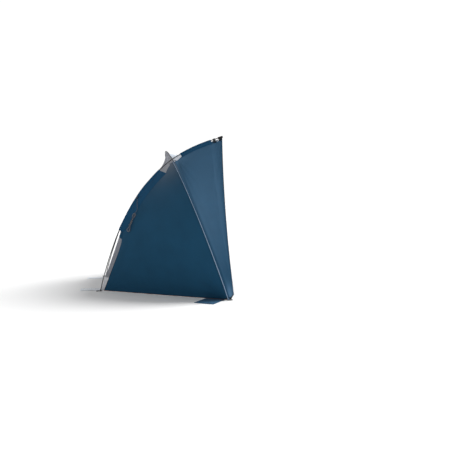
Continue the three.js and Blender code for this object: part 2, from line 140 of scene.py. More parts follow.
def make_camera():
    data = bpy.data.cameras.new("camera")
    data.lens, data.sensor_width = CAMERA["lens"], CAMERA["sensor"]
    camera = bpy.data.objects.new("camera", data)
    camera.location = CAMERA_PLACE
    tilt, turn = math.radians(90 - CAMERA["pitch"]), math.radians(-90 - CAMERA["yaw"])
    camera.rotation_euler = (tilt, 0, turn)
    studio.collection.objects.link(camera)
    studio.camera = camera


def make_light():
    world = bpy.data.worlds.new("studio")
    world.use_nodes = True
    background = world.node_tree.nodes["Background"]
    background.inputs["Color"].default_value = (1, 1, 1, 1)
    background.inputs["Strength"].default_value = SKY_STRENGTH
    studio.world = world
    sun = bpy.data.objects.new("key", bpy.data.lights.new("key", "SUN"))
    sun.data.energy = SUN["energy"]
    sun.data.angle = SUN["spread"]
    sun.rotation_euler = SUN["towards"].to_track_quat("Z", "Y").to_euler()
    studio.collection.objects.link(sun)
    studio.view_settings.view_transform = "Standard"


# ---- Materials ----


def colour(code, alpha=1.0):
    """A linear colour from a six-figure sRGB code."""
    parts = [int(code[i : i + 2], 16) / 255 for i in (0, 2, 4)]
    return (*[c / 12.92 if c <= 0.04045 else ((c + 0.055) / 1.055) ** 2.4 for c in parts], alpha)


class Paint:
    """A material whose nodes are added and joined by short calls, all reading one set of coordinates."""

    def __init__(self, name, coordinates="UV", **fixed):
        self.material = bpy.data.materials.new(name)
        self.material.use_nodes = True
        self.tree = self.material.node_tree
        self.surface = self.tree.nodes["Principled BSDF"]
        for socket, value in fixed.items():
            self.surface.inputs[socket.replace("_", " ")].default_value = value
        self.where = self.add("UVMap" if coordinates == "UV" else "TexCoord").outputs[coordinates]

    def add(self, kind, joins=None, **settings):
        """A node whose inputs take other nodes' outputs or plain values."""
        node = self.tree.nodes.new("ShaderNode" + kind)
        for key, value in settings.items():
            setattr(node, key, value)
        for socket, value in (joins or {}).items():
            if isinstance(value, bpy.types.NodeSocket):
                self.tree.links.new(value, node.inputs[socket])
            else:
                node.inputs[socket].default_value = value
        return node

    def join(self, output, socket):
        self.tree.links.new(output, self.surface.inputs[socket])

    def noise(self, scale, detail=2.0):
        joins = {"Vector": self.where, "Scale": scale, "Detail": detail}
        return self.add("TexNoise", joins).outputs["Fac"]

    def waves(self, direction, pitch):
        """Bands whose middles are a pitch apart."""
        joins = {"Vector": self.where, "Scale": math.pi / 10 / pitch}
        return self.add("TexWave", joins, bands_direction=direction).outputs["Fac"]

    def sum(self, first, second, operation="ADD"):
        return self.add("Math", {0: first, 1: second}, operation=operation).outputs[0]

    def crossed(self, pitch, directions="XY"):
        """Bands in two directions, multiplied."""
        return self.sum(*(self.waves(way, pitch) for way in directions), "MULTIPLY")

    def ramp(self, value, low, high, start=0.0, end=1.0):
        joins = {"Value": value, "From Min": start, "From Max": end, "To Min": low, "To Max": high}
        return self.add("MapRange", joins).outputs["Result"]

    def mix(self, share, first, second):
        return self.add("Mix", {0: share, 6: first, 7: second}, data_type="RGBA").outputs[2]

    def varied(self, code, scale, amount):
        """A colour that is a little lighter and darker from place to place."""
        base = colour(code)
        dark = tuple(c * (1 - amount) for c in base[:3]) + (1,)
        light = tuple(min(1, c * (1 + amount)) for c in base[:3]) + (1,)
        return self.mix(self.ramp(self.noise(scale, 4), 0, 1, 0.3, 0.7), dark, light)

    def base(self, tone, shade=None):
        """The base colour, darkened or lightened by a shade where one is given."""
        if shade is not None:
            tone = self.add("VectorMath", {0: tone, 1: shade}, operation="MULTIPLY").outputs[0]
        self.join(tone, "Base Color")

    def rough(self, low, high, scale, detail=2.0, start=0.0, end=1.0):
        """Roughness between two values, uneven at a scale."""
        self.join(self.ramp(self.noise(scale, detail), low, high, start, end), "Roughness")

    def bump(self, height, distance, strength=1.0):
        joins = {"Height": height, "Distance": distance, "Strength": strength}
        self.join(self.add("Bump", joins).outputs["Normal"], "Normal")


def fabric(name, code, pitch=0.0007, painted_light_code=None):
    """Plain-woven polyester with uneven dye, mixed towards a pale colour where its per-point painted light
    is set: painted sheen, painted highlights and painted lighting.
    """
    paint = Paint(name, Sheen_Weight=0.05, Sheen_Roughness=0.45, Specular_IOR_Level=0.12)
    tone = paint.varied(code, 7, 0.07)
    # Painted light: the dye is mixed towards a pale colour by a per-point amount.
    if painted_light_code:
        fade = paint.add("Attribute", attribute_name="fade").outputs["Fac"]
        tone = paint.mix(fade, tone, colour(painted_light_code))
    paint.base(tone, paint.ramp(paint.noise(900), 0.9, 1.1))
    paint.rough(0.73, 0.86, 30)
    paint.bump(paint.sum(paint.crossed(pitch), paint.noise(350)), 0.00012, 0.6)
    return paint.material


def netting(name, code, pitch, open_share):
    """Knitted mesh: round holes in rows, with the threads between them standing up."""
    paint = Paint(name, Specular_IOR_Level=0.25, Sheen_Weight=0.15)
    paint.base(paint.varied(code, 9, 0.06))
    holes = paint.crossed(pitch)
    edge = 1 - math.sqrt(open_share)
    paint.join(paint.ramp(holes, 1, 0, edge - 0.06, edge + 0.06), "Alpha")
    paint.rough(0.65, 0.8, 60)
    paint.bump(paint.sum(paint.noise(400), holes, "SUBTRACT"), 0.0002, 0.5)
    return paint.material


def film(name, code, pitch=0.0026):
    """Woven polyethylene sheet: flat tapes crossing under a thin glossy coat."""
    paint = Paint(name, Coat_Weight=0.15, Coat_Roughness=0.35, Specular_IOR_Level=0.4)
    tapes = paint.crossed(pitch)
    paint.base(paint.varied(code, 5, 0.06), paint.ramp(tapes, 0.9, 1.04))
    paint.rough(0.42, 0.62, 14)
    paint.bump(paint.sum(tapes, paint.noise(25, 5)), 0.0006, 0.6)
    return paint.material


def webbing(name, code, rib=0.0016):
    """Strap weave: thick ribs across the strap with fine threads over them."""
    paint = Paint(name, Specular_IOR_Level=0.35, Sheen_Weight=0.3, Sheen_Roughness=0.5)
    paint.base(paint.varied(code, 60, 0.15))
    paint.rough(0.7, 0.9, 300)
    paint.bump(paint.sum(paint.waves("X", rib), paint.waves("DIAGONAL", rib * 0.6)), 0.0004, 0.8)
    return paint.material


def braid(name, code, fleck, pitch=0.0022):
    """Round braided cord: two strands wound in opposite ways, with a fleck in one of them."""
    paint = Paint(name, "Object", Specular_IOR_Level=0.3, Sheen_Weight=0.3, Roughness=0.8)
    flecks = paint.ramp(paint.noise(700), 0, 1, 0.52, 0.64)
    paint.base(paint.mix(flecks, paint.varied(code, 120, 0.15), colour(fleck)))
    paint.bump(paint.crossed(pitch, ("DIAGONAL", "Z")), 0.0004, 0.7)
    return paint.material


def rod_finish(name, code, metallic=0.0, roughness=0.38):
    """A drawn rod or tube: fine scratches along it and a few scuffs."""
    paint = Paint(name, "Object", Metallic=metallic, Coat_Weight=0.2, Coat_Roughness=0.3)
    paint.base(paint.varied(code, 25, 0.12))
    paint.rough(roughness - 0.08, roughness + 0.18, 45, 6, 0.35, 0.7)
    paint.bump(paint.noise(1500), 0.00005, 0.5)
    return paint.material


def moulded(name, code, worn="55565a"):
    """Moulded plastic with a fine grain and paler worn patches."""
    paint = Paint(name, "Object", Specular_IOR_Level=0.5)
    patches = paint.ramp(paint.noise(90, 5), 0, 0.35, 0.58, 0.75)
    paint.base(paint.mix(patches, paint.varied(code, 40, 0.15), colour(worn)))
    paint.rough(0.42, 0.58, 400)
    paint.bump(paint.noise(1800, 3), 0.00008, 0.6)
    return paint.material


def ground_finish():
    paint = Paint("studio_floor", "Object", Specular_IOR_Level=0.1)
    paint.base(paint.ramp(paint.noise(0.6), FLOOR_TONE - 0.01, FLOOR_TONE + 0.01))
    paint.rough(0.85, 0.95, 3)
    return paint.material


LOOKS = {
    # The last code is the grey of the body cloth's painted sheen near the pole crossing.
    "body_fabric": (fabric, "184764", 0.0007, "626c78"),
    # The last code is the pale blue of the wing's painted lighting and painted highlights.
    "wing_fabric": (fabric, "0f3e5a", 0.0007, "5f86a8"),
    "sleeve_fabric": (fabric, "15486a", 0.0009),
    "flap_fabric": (fabric, "2d5775"),
    # The vent's rear half takes this grey mesh as its painted shade; the rear window net takes it as its own
    # colour.
    "grey_mesh": (netting, "979aa3", 0.0014, 0.22),
    # Pale copy of the vent mesh for its front half: painted light.
    "vent_lit_mesh": (netting, "dfe7f1", 0.0014, 0.30),
    "groundsheet_film": (film, "b4b8bf"),
    "pale_fabric": (fabric, "f0f4fb", 0.0009),
    "kick_fabric": (fabric, "dfe0e5", 0.0009),
    # Grey tape: the kick strip's top tape, and the painted shade of the rear crossing tape.
    "tape_grey": (fabric, "9a9da3", 0.0012),
    # Pale blue of the painted highlight along each hoop sleeve.
    "painted_highlight": (fabric, "9bb0cb", 0.0012),
    # Pale copy of the crossing tape for its front part: painted light.
    "crossing_lit_tape": (fabric, "e6ebf3", 0.0012),
    "binding": (fabric, "15293a", 0.0012),
    # Reddish brown of a painted shadow line along the side panels' bottom edge.
    "painted_shadow_line": (fabric, "5b3b34", 0.0012),
    "webbing": (webbing, "1a1b1e"),
    "thread": (fabric, "1b3550", 0.0004),
    "fibreglass": (rod_finish, "46474b"),
    "ferrule": (rod_finish, "57585c", 0.7, 0.34),
    "black_plastic": (moulded, "131416"),
    "elastic_cord": (braid, "cfcfca", "8d8f94"),
    "guyline_cord": (braid, "55565d", "8a8a90"),
}
finish = {name: make(name, *looks) for name, (make, *looks) in LOOKS.items()}

# ---- Mesh makers ----


def add_object(name, data, body="shelter"):
    piece = bpy.data.objects.new(name, data)
    studio.collection.objects.link(piece)
    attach(piece, body)
    return piece


def make_mesh(name, points, faces, material, uv=None, fade=None, body="shelter", sharp=50):
    mesh = bpy.data.meshes.new(name)
    mesh.from_pydata(np.asarray(points).tolist(), [], [list(map(int, f)) for f in faces])
    mesh.materials.append(finish[material])
    mesh.shade_smooth()
    mesh.set_sharp_from_angle(angle=math.radians(sharp))
    if uv is not None:
        corners = np.zeros(len(mesh.loops), np.int32)
        mesh.loops.foreach_get("vertex_index", corners)
        mesh.uv_layers.new(name="UVMap").data.foreach_set("uv", np.asarray(uv, np.float32)[corners].ravel())
    # The per-point amount of painted light that the fabric material mixes in.
    if fade is not None:
        attribute = mesh.attributes.new("fade", "FLOAT", "POINT")
        attribute.data.foreach_set("value", np.asarray(fade, np.float32).ravel())
    return add_object(name, mesh, body)


def grid_normals(grid):
    along, up = np.gradient(grid, axis=1), np.gradient(grid, axis=0)
    return unit(np.cross(along, up))


def grid_uv(grid):
    """Real lengths along the middle row and the middle column."""
    rows, columns = grid.shape[:2]
    across = np.linalg.norm(np.diff(grid[rows // 2], axis=0), axis=1)
    up = np.linalg.norm(np.diff(grid[:, columns // 2], axis=0), axis=1)
    u = np.concatenate([[0], np.cumsum(across)])
    v = np.concatenate([[0], np.cumsum(up)])
    return np.stack(np.meshgrid(u, v), axis=-1).reshape(-1, 2)


def grid_quads(rows, columns, around=False):
    index = np.arange(rows * columns).reshape(rows, columns)
    if around:
        index = np.concatenate([index, index[:, :1]], axis=1)
    corners = [index[:-1, :-1], index[:-1, 1:], index[1:, 1:], index[1:, :-1]]
    return np.stack(corners, axis=-1).reshape(-1, 4)


def slab(name, grid, material, thickness=CLOTH, fade=None, body="shelter", ring=False):
    """A closed sheet over a grid of points, half its thickness to each side.

    A ring's rows of points go all the way round, and it lies flat on the ground.
    """
    rows, columns = grid.shape[:2]
    count = rows * columns
    offset = grid_normals(grid) * thickness / 2
    front = grid_quads(rows, columns, around=ring)
    index = np.arange(count).reshape(rows, columns)
    rims = [np.concatenate([index[0, :-1], index[:-1, -1], index[-1, :0:-1], index[:0:-1, 0]])]
    if ring:
        rims = [index[0], index[-1, ::-1]]
    afters = [np.roll(rim, -1) for rim in rims]
    sides = [np.stack([b, a, a + count, b + count], axis=-1) for a, b in zip(rims, afters)]
    faces = np.concatenate([front, front[:, ::-1] + count, *sides])
    points = np.concatenate([grid + offset, grid - offset]).reshape(-1, 3)
    uv = grid[..., :2].reshape(-1, 2) if ring else grid_uv(grid)
    painted_lights = None if fade is None else np.tile(np.asarray(fade).ravel(), 2)
    return make_mesh(name, points, faces, material, np.tile(uv, (2, 1)), painted_lights, body)


class Route:
    """A line through space whose distances can be read off."""

    def __init__(self, points):
        self.points = np.asarray(points, float)
        steps = np.linalg.norm(np.diff(self.points, axis=0), axis=1)
        self.distances = np.concatenate([[0], np.cumsum(steps)])
        self.length = self.distances[-1]

    def point(self, distance):
        where = np.clip(distance, 0, self.length)
        return np.stack([np.interp(where, self.distances, self.points[:, k]) for k in range(3)], axis=-1)

    def tangent(self, distance, reach=0.002):
        ahead = np.minimum(np.asarray(distance) + reach, self.length)
        behind = np.maximum(np.asarray(distance) - reach, 0)
        return unit(self.point(ahead) - self.point(behind))


def carried_frames(points):
    """Two directions square to a line at each of its points, turning as little as they can."""
    tangents = unit(np.gradient(points, axis=0))
    spare = np.array([1.0, 0, 0]) if abs(tangents[0][0]) < 0.8 else np.array([0, 1.0, 0])
    first = unit(np.cross(tangents[0], spare))
    sides = [first]
    for tangent in tangents[1:]:
        flat = sides[-1] - tangent * np.dot(sides[-1], tangent)
        sides.append(unit(flat))
    sides = np.array(sides)
    return sides, np.cross(tangents, sides)


def capped(name, rings, ends, material, sharp=50):
    """A solid from rings of points, with a point in the middle of each end."""
    stations, segments = rings.shape[:2]
    count, last = stations * segments, (stations - 1) * segments
    faces = grid_quads(stations, segments, around=True).tolist()
    for i in range(segments):
        after = (i + 1) % segments
        faces.append([count, after, i])
        faces.append([count + 1, last + i, last + after])
    points = np.concatenate([rings.reshape(-1, 3), ends])
    return make_mesh(name, points, faces, material, sharp=sharp)


def spokes(first, second, segments):
    """Directions all the way round, from two that are square to each other."""
    angles = np.arange(segments)[:, None] * 2 * math.pi / segments
    return first * np.cos(angles) + second * np.sin(angles)


def turned(name, points, radii, material, segments=24, sharp=50):
    """Rings of the given radii round a line, closed at both ends."""
    sides, ups = carried_frames(points)
    around = spokes(sides[:, None], ups[:, None], segments)
    rings = points[:, None] + around * np.asarray(radii)[:, None, None]
    return capped(name, rings, points[[0, -1]], material, sharp)


def lathe(name, route, start, direction, profile, material, segments=28):
    """A turned solid on a route's end.

    Its profile is given as distances inward and radii, from axis to axis.
    """
    origin, axis = route.point(start), route.tangent(start) * direction
    spare = unit(np.cross(axis, [1.0, 0.2, 0.1]))
    around = spokes(spare, np.cross(axis, spare), segments)
    rings = np.array([origin + axis * along + around * radius for along, radius in profile[1:-1]])
    ends = [origin + axis * profile[end][0] for end in (0, -1)]
    return capped(name, rings, ends, material, sharp=35)


def stand_in(piece, slot, *nodes):
    """Hide the CAD nodes that a piece stands in for."""
    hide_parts(*nodes)


# ---- Curves ----


def catmull_rom(points, per_span=60):
    """A centripetal curve through points, as three.js draws it."""
    points = np.asarray(points, float)
    padded = np.concatenate([[2 * points[0] - points[1]], points, [2 * points[-1] - points[-2]]])
    t = np.linspace(0, 1, per_span + 1)[:-1, None]
    spans = []
    for a, b, c, d in zip(padded, padded[1:], padded[2:], padded[3:]):
        before, gap, after = (max(np.linalg.norm(step), 1e-8) ** 0.5 for step in (b - a, c - b, d - c))
        out = ((b - a) / before - (c - a) / (before + gap) + (c - b) / gap) * gap
        back = ((c - b) / gap - (d - b) / (gap + after) + (d - c) / after) * gap
        square, cubic = 3 * (c - b) - 2 * out - back, 2 * (b - c) + out + back
        spans.append(b + out * t + square * t**2 + cubic * t**3)
    return np.concatenate([*spans, points[-1:]])


def hoop_route():
    """Half an ellipse and a little more, leaning back over the shelter from its two feet."""
    start = -math.asin(HOOP_CENTRE_RISE / HOOP_HALF_HEIGHT)
    angles = np.linspace(start, math.pi - start, 1201)
    rise = HOOP_CENTRE_RISE + HOOP_HALF_HEIGHT * np.sin(angles)
    forward = HOOP_FOOT_FORWARD - rise * math.sin(HOOP_LEAN)
    across = -HOOP_HALF_WIDTH * np.cos(angles)
    return Route(np.stack([across, REAR_FOOT_Y - forward, rise * math.cos(HOOP_LEAN)], axis=-1))


hoop = hoop_route()
half_hoop = hoop.points[:601]
crossing_at = float(np.interp(-SIDE_POLE_X, half_hoop[:, 0], hoop.distances[:601]))
crossing = hoop.point(crossing_at)
crossing_forward = REAR_FOOT_Y - crossing[1]

SIDE_POLE_OUTLINE = [
    (0, 0),
    (0.030, 0.127),
    (0.166, 0.530),
    (0.344, 0.848),
    (0.512, 1.047),
    (crossing_forward - 0.007, crossing[2] + 0.0095),
    (0.778, 1.232),
    (0.922, 1.294),
    (1.065, 1.342),
]
SPAN_STEPS = 60


def side_pole(side):
    return Route(catmull_rom([at(side * SIDE_POLE_X, f, up) for f, up in SIDE_POLE_OUTLINE], SPAN_STEPS))


poles = {side: side_pole(side) for side in (-1, 1)}
pole_length = poles[-1].length
sleeve_end, vent_rear, pole_crossing = (poles[-1].distances[i * SPAN_STEPS] for i in (2, 4, 5))
vent_front = pole_crossing + 0.095
front_sleeve_end = pole_length - 0.108
clip_at = pole_length - 0.078
guy_loop_at = sleeve_end + 0.325
roof_corner_at = pole_length - 0.006

# The distances along a pole between which each panel is joined to it
SIDE_TOP = (sleeve_end - 0.030, pole_crossing - 0.020)
WING_TOP = (pole_crossing + 0.020, roof_corner_at)
REAR_TOP = (sleeve_end - 0.035, vent_rear - 0.003)
ROOF_TOP = (vent_front + 0.003, roof_corner_at)
HOOP_EDGE = (0.014, crossing_at - 0.030)

# The roof edges beside the vent: distance along the side poles, rise and reach forward at the middle
VENT_EDGES = {"rear": (REAR_TOP[1], 0.029, 0.011), "front": (ROOF_TOP[0], 0.010, 0)}


def beside_pole(side, distances, outboard, inner):
    """Points beside a side pole, set off outward and towards the inside of its bend."""
    tangent = poles[side].tangent(distances)
    aside = np.full(tangent.shape[:-1], side * outboard)
    offset = np.stack([aside, -inner * tangent[..., 2], inner * tangent[..., 1]], axis=-1)
    return poles[side].point(distances) + offset


def on_hoop(side, distance):
    """Points of the hoop at distances from one side's foot."""
    return hoop.point(distance if side < 0 else hoop.length - distance)


def beside_hoop(side, forward):
    return on_hoop(side, lerp(*HOOP_EDGE, EVEN)) - np.array([0, forward, 0])


def share_of(distances, reach):
    """How far distances are along a reach, as shares of it."""
    return (distances - reach[0]) / (reach[1] - reach[0])


def rear_corner(side, up):
    """A point of the rear wall's upright corner."""
    share = up / REAR_WALL_HEIGHT
    return at(side * lerp(*REAR_CORNER["across"], share), lerp(*REAR_CORNER["forward"], share), up)


def wrap_at(up):
    """How far the rear wall goes round its corner."""
    return lerp(*CORNER_WRAP, up / REAR_WALL_HEIGHT)


def round_corner(side, up, distance):
    return rear_corner(side, up) + distance * np.array([side * 0.53, -0.85, 0])


def across_roof(distance, rise, forward, inset=SEAM_INSET):
    """A bowed edge across the roof, from one side pole to the other."""
    ends = [beside_pole(side, distance, -inset, SEAM_INSET) for side in (-1, 1)]
    bow = 4 * EVEN * (1 - EVEN)
    return straight(*ends) + np.stack([0 * bow, -forward * bow, rise * bow], axis=-1)


def straight(start, end, shares=EVEN):
    return lerp(start, end, shares[:, None])


def pinned(points, start, end):
    """The same edge with its ends moved to two given corners, and little moved in between."""
    to_start, to_end = start - points[0], end - points[-1]
    return points + to_start * ((1 - EVEN) ** 8)[:, None] + to_end * (EVEN**8)[:, None]


def coons(bottom, top, left, right):
    """A grid of points inside four edges that meet at its corners."""
    u = np.linspace(0, 1, len(bottom))[None, :, None]
    v = np.linspace(0, 1, len(left))[:, None, None]
    grid = bottom[None] * (1 - v) + top[None] * v + left[:, None] * (1 - u) + right[:, None] * u
    grid = grid - bottom[0] * (1 - u) * (1 - v) - bottom[-1] * u * (1 - v)
    return grid - top[0] * (1 - u) * v - top[-1] * u * v


class Surface:
    """A cloth surface as rows and columns of points, with a side that faces out."""

    def __init__(self, grid, outward=1):
        self.grid = grid
        self.normals = grid_normals(grid) * outward
        steps = np.linalg.norm(np.diff(grid, axis=0), axis=2)
        self.heights = steps.sum(axis=0)
        self.widths = np.linalg.norm(np.diff(grid, axis=1), axis=2).sum(axis=1)

    def height(self, u):
        return np.interp(u, np.linspace(0, 1, len(self.heights)), self.heights)

    def width(self, v):
        return np.interp(v, np.linspace(0, 1, len(self.widths)), self.widths)

    def read(self, field, u, v):
        rows, columns = field.shape[:2]
        u, v = np.broadcast_arrays(np.clip(u, 0, 1), np.clip(v, 0, 1))
        x, y = u * (columns - 1), v * (rows - 1)
        i, j = np.minimum(x.astype(int), columns - 2), np.minimum(y.astype(int), rows - 2)
        a, b = (x - i)[..., None], (y - j)[..., None]
        low = field[j, i] * (1 - a) + field[j, i + 1] * a
        high = field[j + 1, i] * (1 - a) + field[j + 1, i + 1] * a
        return low * (1 - b) + high * b

    def point(self, u, v, lift=0.0):
        return self.read(self.grid, u, v) + unit(self.read(self.normals, u, v)) * lift

    def normal(self, u, v):
        return unit(self.read(self.normals, u, v))

    def nearest(self, points, u, v, step=0.01):
        """Where on the surface the given points are, starting from a guess."""
        for _ in range(6):
            ends_u, ends_v = np.clip([u - step, u + step], 0, 1), np.clip([v - step, v + step], 0, 1)
            along = (self.point(ends_u[1], v) - self.point(ends_u[0], v)) / (ends_u[1] - ends_u[0])[:, None]
            up = (self.point(u, ends_v[1]) - self.point(u, ends_v[0])) / (ends_v[1] - ends_v[0])[:, None]
            miss = points - self.point(u, v)
            aa, ab, bb = (along * along).sum(1), (along * up).sum(1), (up * up).sum(1)
            am, bm = (along * miss).sum(1), (up * miss).sum(1)
            u = np.clip(u + (am * bb - bm * ab) / (aa * bb - ab * ab), 0, 1)
            v = np.clip(v + (bm * aa - am * ab) / (aa * bb - ab * ab), 0, 1)
        return u, v

    def below_top(self, share, depth, lift):
        """Points at a depth below the top edge, measured square to it."""
        edge, inside = self.point(share, 1.0), self.point(share, 0.94)
        along = unit(np.gradient(edge, axis=0))
        down = inside - edge
        down = unit(down - along * (down * along).sum(1)[:, None])
        where = self.nearest(edge + down * depth[:, None], share, 1 - depth / self.height(share))
        return self.point(*where, lift)

    def area(self):
        along, up = np.diff(self.grid, axis=1)[:-1], np.diff(self.grid, axis=0)[:, :-1]
        return float(np.linalg.norm(np.cross(along, up), axis=2).sum())


def along_edge(surface, edge, s, depth):
    """Places on a surface at shares along one of its edges and at depths from it."""
    if edge in ("bottom", "top"):
        share = depth / surface.height(s)
        return (s, share) if edge == "bottom" else (s, 1 - share)
    share = depth / surface.width(s)
    return (share, s) if edge == "left" else (1 - share, s)


def band(surface, edge, width, lift=0.0, start=0.0, end=1.0, count=90, rows=4):
    """A strip of a surface along one of its edges, lifted off it."""
    s, depth = np.linspace(start, end, count + 1), np.linspace(0, width, rows + 1)
    return surface.point(*along_edge(surface, edge, s[None, :], depth[:, None]), lift)


# ---- Folds in the cloth ----


def folds(u, v, corners, amplitude, count):
    """Tension folds that fan out from corners of the cloth and die away from them."""
    height = np.zeros(np.broadcast(u, v).shape)
    for number, (corner_u, corner_v, reach) in enumerate(corners):
        du, dv = u - corner_u, v - corner_v
        radius = np.hypot(du, dv)
        fan = np.sin(count * np.arctan2(np.abs(dv), np.abs(du) + 1e-9) * 2 + number * 1.7)
        height += fan * (radius / reach) * np.exp(1 - radius / reach)
    return height * amplitude


def slow_waves(u, v, amplitude):
    """Long shallow unevenness, the same each run."""
    first = np.sin(7.1 * u + 2.3 * v + 0.4) * np.sin(4.3 * v - 2.9 * u + 1.3)
    second = np.sin(13.7 * u - 5.1 * v + 2.1) * np.sin(9.7 * v + 3.3 * u)
    return amplitude * (0.7 * first + 0.3 * second)


def off_edges(u, v, steepness):
    """Nothing along the edges of a sheet, rising to one inside them."""
    rise_u, rise_v = (np.minimum(1, steepness * np.minimum(w, 1 - w)) for w in (u, v))
    return rise_u * rise_v


def rumpled(grid, corners, amplitude, billow=0.0, waves=0.0012, count=9):
    """A grid with folds and a slight billow, its edges left in place."""
    rows, columns = grid.shape[:2]
    u, v = np.linspace(0, 1, columns)[None, :], np.linspace(0, 1, rows)[:, None]
    offset = folds(u, v, corners, amplitude, count) + slow_waves(u, v, waves)
    offset = offset * off_edges(u, v, 14) + billow * 16 * u * (1 - u) * v * (1 - v)
    return grid + grid_normals(grid) * offset[..., None]


# ---- Panels ----


def side_top_corner(side):
    return np.array([side * 0.484, crossing[1] + 0.025, crossing[2] - 0.026])


def wing_top_corner(side):
    return np.array([side * 0.486, crossing[1] - 0.035, crossing[2] - 0.006])


def front_corner(side):
    return at(side * 1.077, 1.070, 0.046)


def side_foot(side):
    return at(side * 1.063, HOOP_FOOT_FORWARD - 0.016, GROUND_CLEAR)


def side_panel(side):
    foot, top = side_foot(side), side_top_corner(side)
    top_up = REAR_WALL_HEIGHT + 0.003
    rear_foot = round_corner(side, GROUND_CLEAR, wrap_at(GROUND_CLEAR))
    rear_top = round_corner(side, top_up, wrap_at(top_up))
    under = beside_pole(side, lerp(*SIDE_TOP, EVEN), SEAM_INSET, SEAM_INSET)
    grid = coons(
        straight(rear_foot, foot),
        pinned(under, rear_top, top),
        straight(rear_foot, rear_top),
        pinned(beside_hoop(side, -0.012), foot, top),
    )
    corners = [(0, 1, 0.12), (1, 0, 0.10), (0, 0, 0.08)]
    return Surface(rumpled(grid, corners, 0.0016 * -side, -0.004 * -side), -side)


def front_wing(side):
    foot, top = at(side * 1.074, HOOP_FOOT_FORWARD + 0.014, GROUND_CLEAR + 0.002), wing_top_corner(side)
    distances = lerp(*WING_TOP, EVEN)
    under = beside_pole(side, distances, CORNER_INSET, CORNER_INSET)
    past_sleeve = np.clip(share_of(distances, (front_sleeve_end, roof_corner_at)), 0, 1)
    under[:, 2] -= CORNER_DIP * np.sin(np.pi * past_sleeve)
    front = straight(front_corner(side), under[-1])
    front[:, 1] += 4 * EVEN * (1 - EVEN) * FRONT_HEM_BOW
    grid = coons(
        straight(foot, front_corner(side)),
        pinned(under, top, under[-1]),
        pinned(beside_hoop(side, 0.012), foot, top),
        front,
    )
    corners = [(1, 1, 0.14), (0, 1, 0.12), (1, 0, 0.16)]
    return Surface(rumpled(grid, corners, 0.0004 * -side, -0.003 * -side, 0.0006), -side)


def roof_front():
    reach = lerp(*ROOF_TOP, EVEN)
    left, right = (beside_pole(side, reach, -CORNER_INSET, CORNER_INSET) for side in (-1, 1))
    bow = EVEN * (1 - EVEN)
    hem = straight(left[-1], right[-1]) + np.stack([0 * bow, 4 * ROOF_HEM_BOW * bow, -0.032 * bow], axis=-1)
    grid = coons(pinned(across_roof(*VENT_EDGES["front"]), left[0], right[0]), hem, left, right)
    corners = [(0, 1, 0.14), (1, 1, 0.14), (0, 0, 0.1), (1, 0, 0.1)]
    return Surface(rumpled(grid, corners, 0.0022, -0.006))


def rear_upper():
    low = {side: rear_corner(side, REAR_PANEL_HEIGHT) for side in (-1, 1)}

    def edge(side):
        points = beside_pole(side, lerp(*REAR_TOP, EVEN), -SEAM_INSET, SEAM_INSET)
        return pinned(points, low[side], points[-1])

    grid = coons(straight(low[-1], low[1]), across_roof(*VENT_EDGES["rear"]), edge(-1), edge(1))
    corners = [(0, 0, 0.14), (1, 0, 0.14), (0, 1, 0.1), (1, 1, 0.1)]
    return Surface(rumpled(grid, corners, 0.0022, -0.006))


def vent_half(which, rows=40):
    """The vent from one of its roof edges up to the hoop."""
    edge = across_roof(*VENT_EDGES[which], VENT_INSET)
    start = crossing_at + 0.006
    top = hoop.point(lerp(start, hoop.length - start, EVEN)) + np.array([0, -0.0022, -0.0065])
    climb = np.linspace(0, 1, rows + 1)[:, None]
    forward, up = VENT_STEEPNESS[which]
    shares = [climb, 1 - (1 - climb) ** forward, climb**up]
    grid = np.stack([lerp(edge[None, :, k], top[None, :, k], shares[k]) for k in range(3)], axis=-1)
    grid[..., 2] -= np.sin(np.pi * climb) * np.abs(np.sin(EVEN * np.pi * 9)) * 0.0035
    return Surface(grid if which == "rear" else grid[::-1])


def rear_wall(low, high, rows):
    """The wall between two heights, wrapped a little way round both corners."""
    wrap = np.linspace(1, 0, 9)
    ups = np.linspace(low, high, rows + 1)
    lines = []
    for up in ups:
        left = [round_corner(-1, up, wrap_at(up) * share) for share in wrap]
        flat = straight(rear_corner(-1, up), rear_corner(1, up), EVEN[1:-1])
        right = [round_corner(1, up, wrap_at(up) * share) for share in wrap[::-1]]
        lines.append(np.concatenate([left, flat, right]))
    return Surface(np.array(lines))


def groundsheet_surface():
    inset, up = 0.009, 0.0012
    across, forward = REAR_CORNER["across"][0] - inset, REAR_CORNER["forward"][0] + inset
    rear = [at(side * across, forward, up) for side in (-1, 1)]
    front = [at(side * 1.040, HOOP_FOOT_FORWARD - 0.020, up) for side in (-1, 1)]
    left, right = straight(front[0], rear[0]), straight(front[1], rear[1])
    grid = coons(straight(*front), straight(*rear), left, right)
    u, v = EVEN[None, :], EVEN[:, None]
    lying = slow_waves(u * 2, v * 2, 0.004) + slow_waves(u * 5, v * 5, 0.0015)
    grid[..., 2] += np.abs(lying) * off_edges(u, v, 12)
    return Surface(grid)


def near(surface, point, reach):
    """One at a point of a surface, falling to nothing over a distance."""
    return np.exp(-((np.linalg.norm(surface.grid - point, axis=2) / reach) ** 1.6))


def side_painted_sheen(surface, apex):
    """Painted sheen: the side cloth is painted greyer and paler towards the crossing of the poles, as a soft
    highlight.
    """
    return 0.8 * near(surface, apex, 0.17) + 0.07 * near(surface, apex, 0.42)


def wing_painted_light(surface, wing):
    """Painted light on the wing: painted paler upward as lighting, with painted highlights at the crossing
    and at the hoop foot.
    """
    foot, apex = wing.grid[0, 0] + np.array([0, 0, 0.035]), wing.grid[-1, 0]
    # Painted lighting: paler with height.
    upward = 0.32 * np.clip(surface.grid[..., 2] - 0.25, 0, 1)
    # Painted highlights at the hoop foot and at the crossing.
    ends = 0.9 * near(surface, foot, 0.065) + 0.35 * near(surface, apex, 0.07)
    return np.clip(upward + ends, 0, 1)


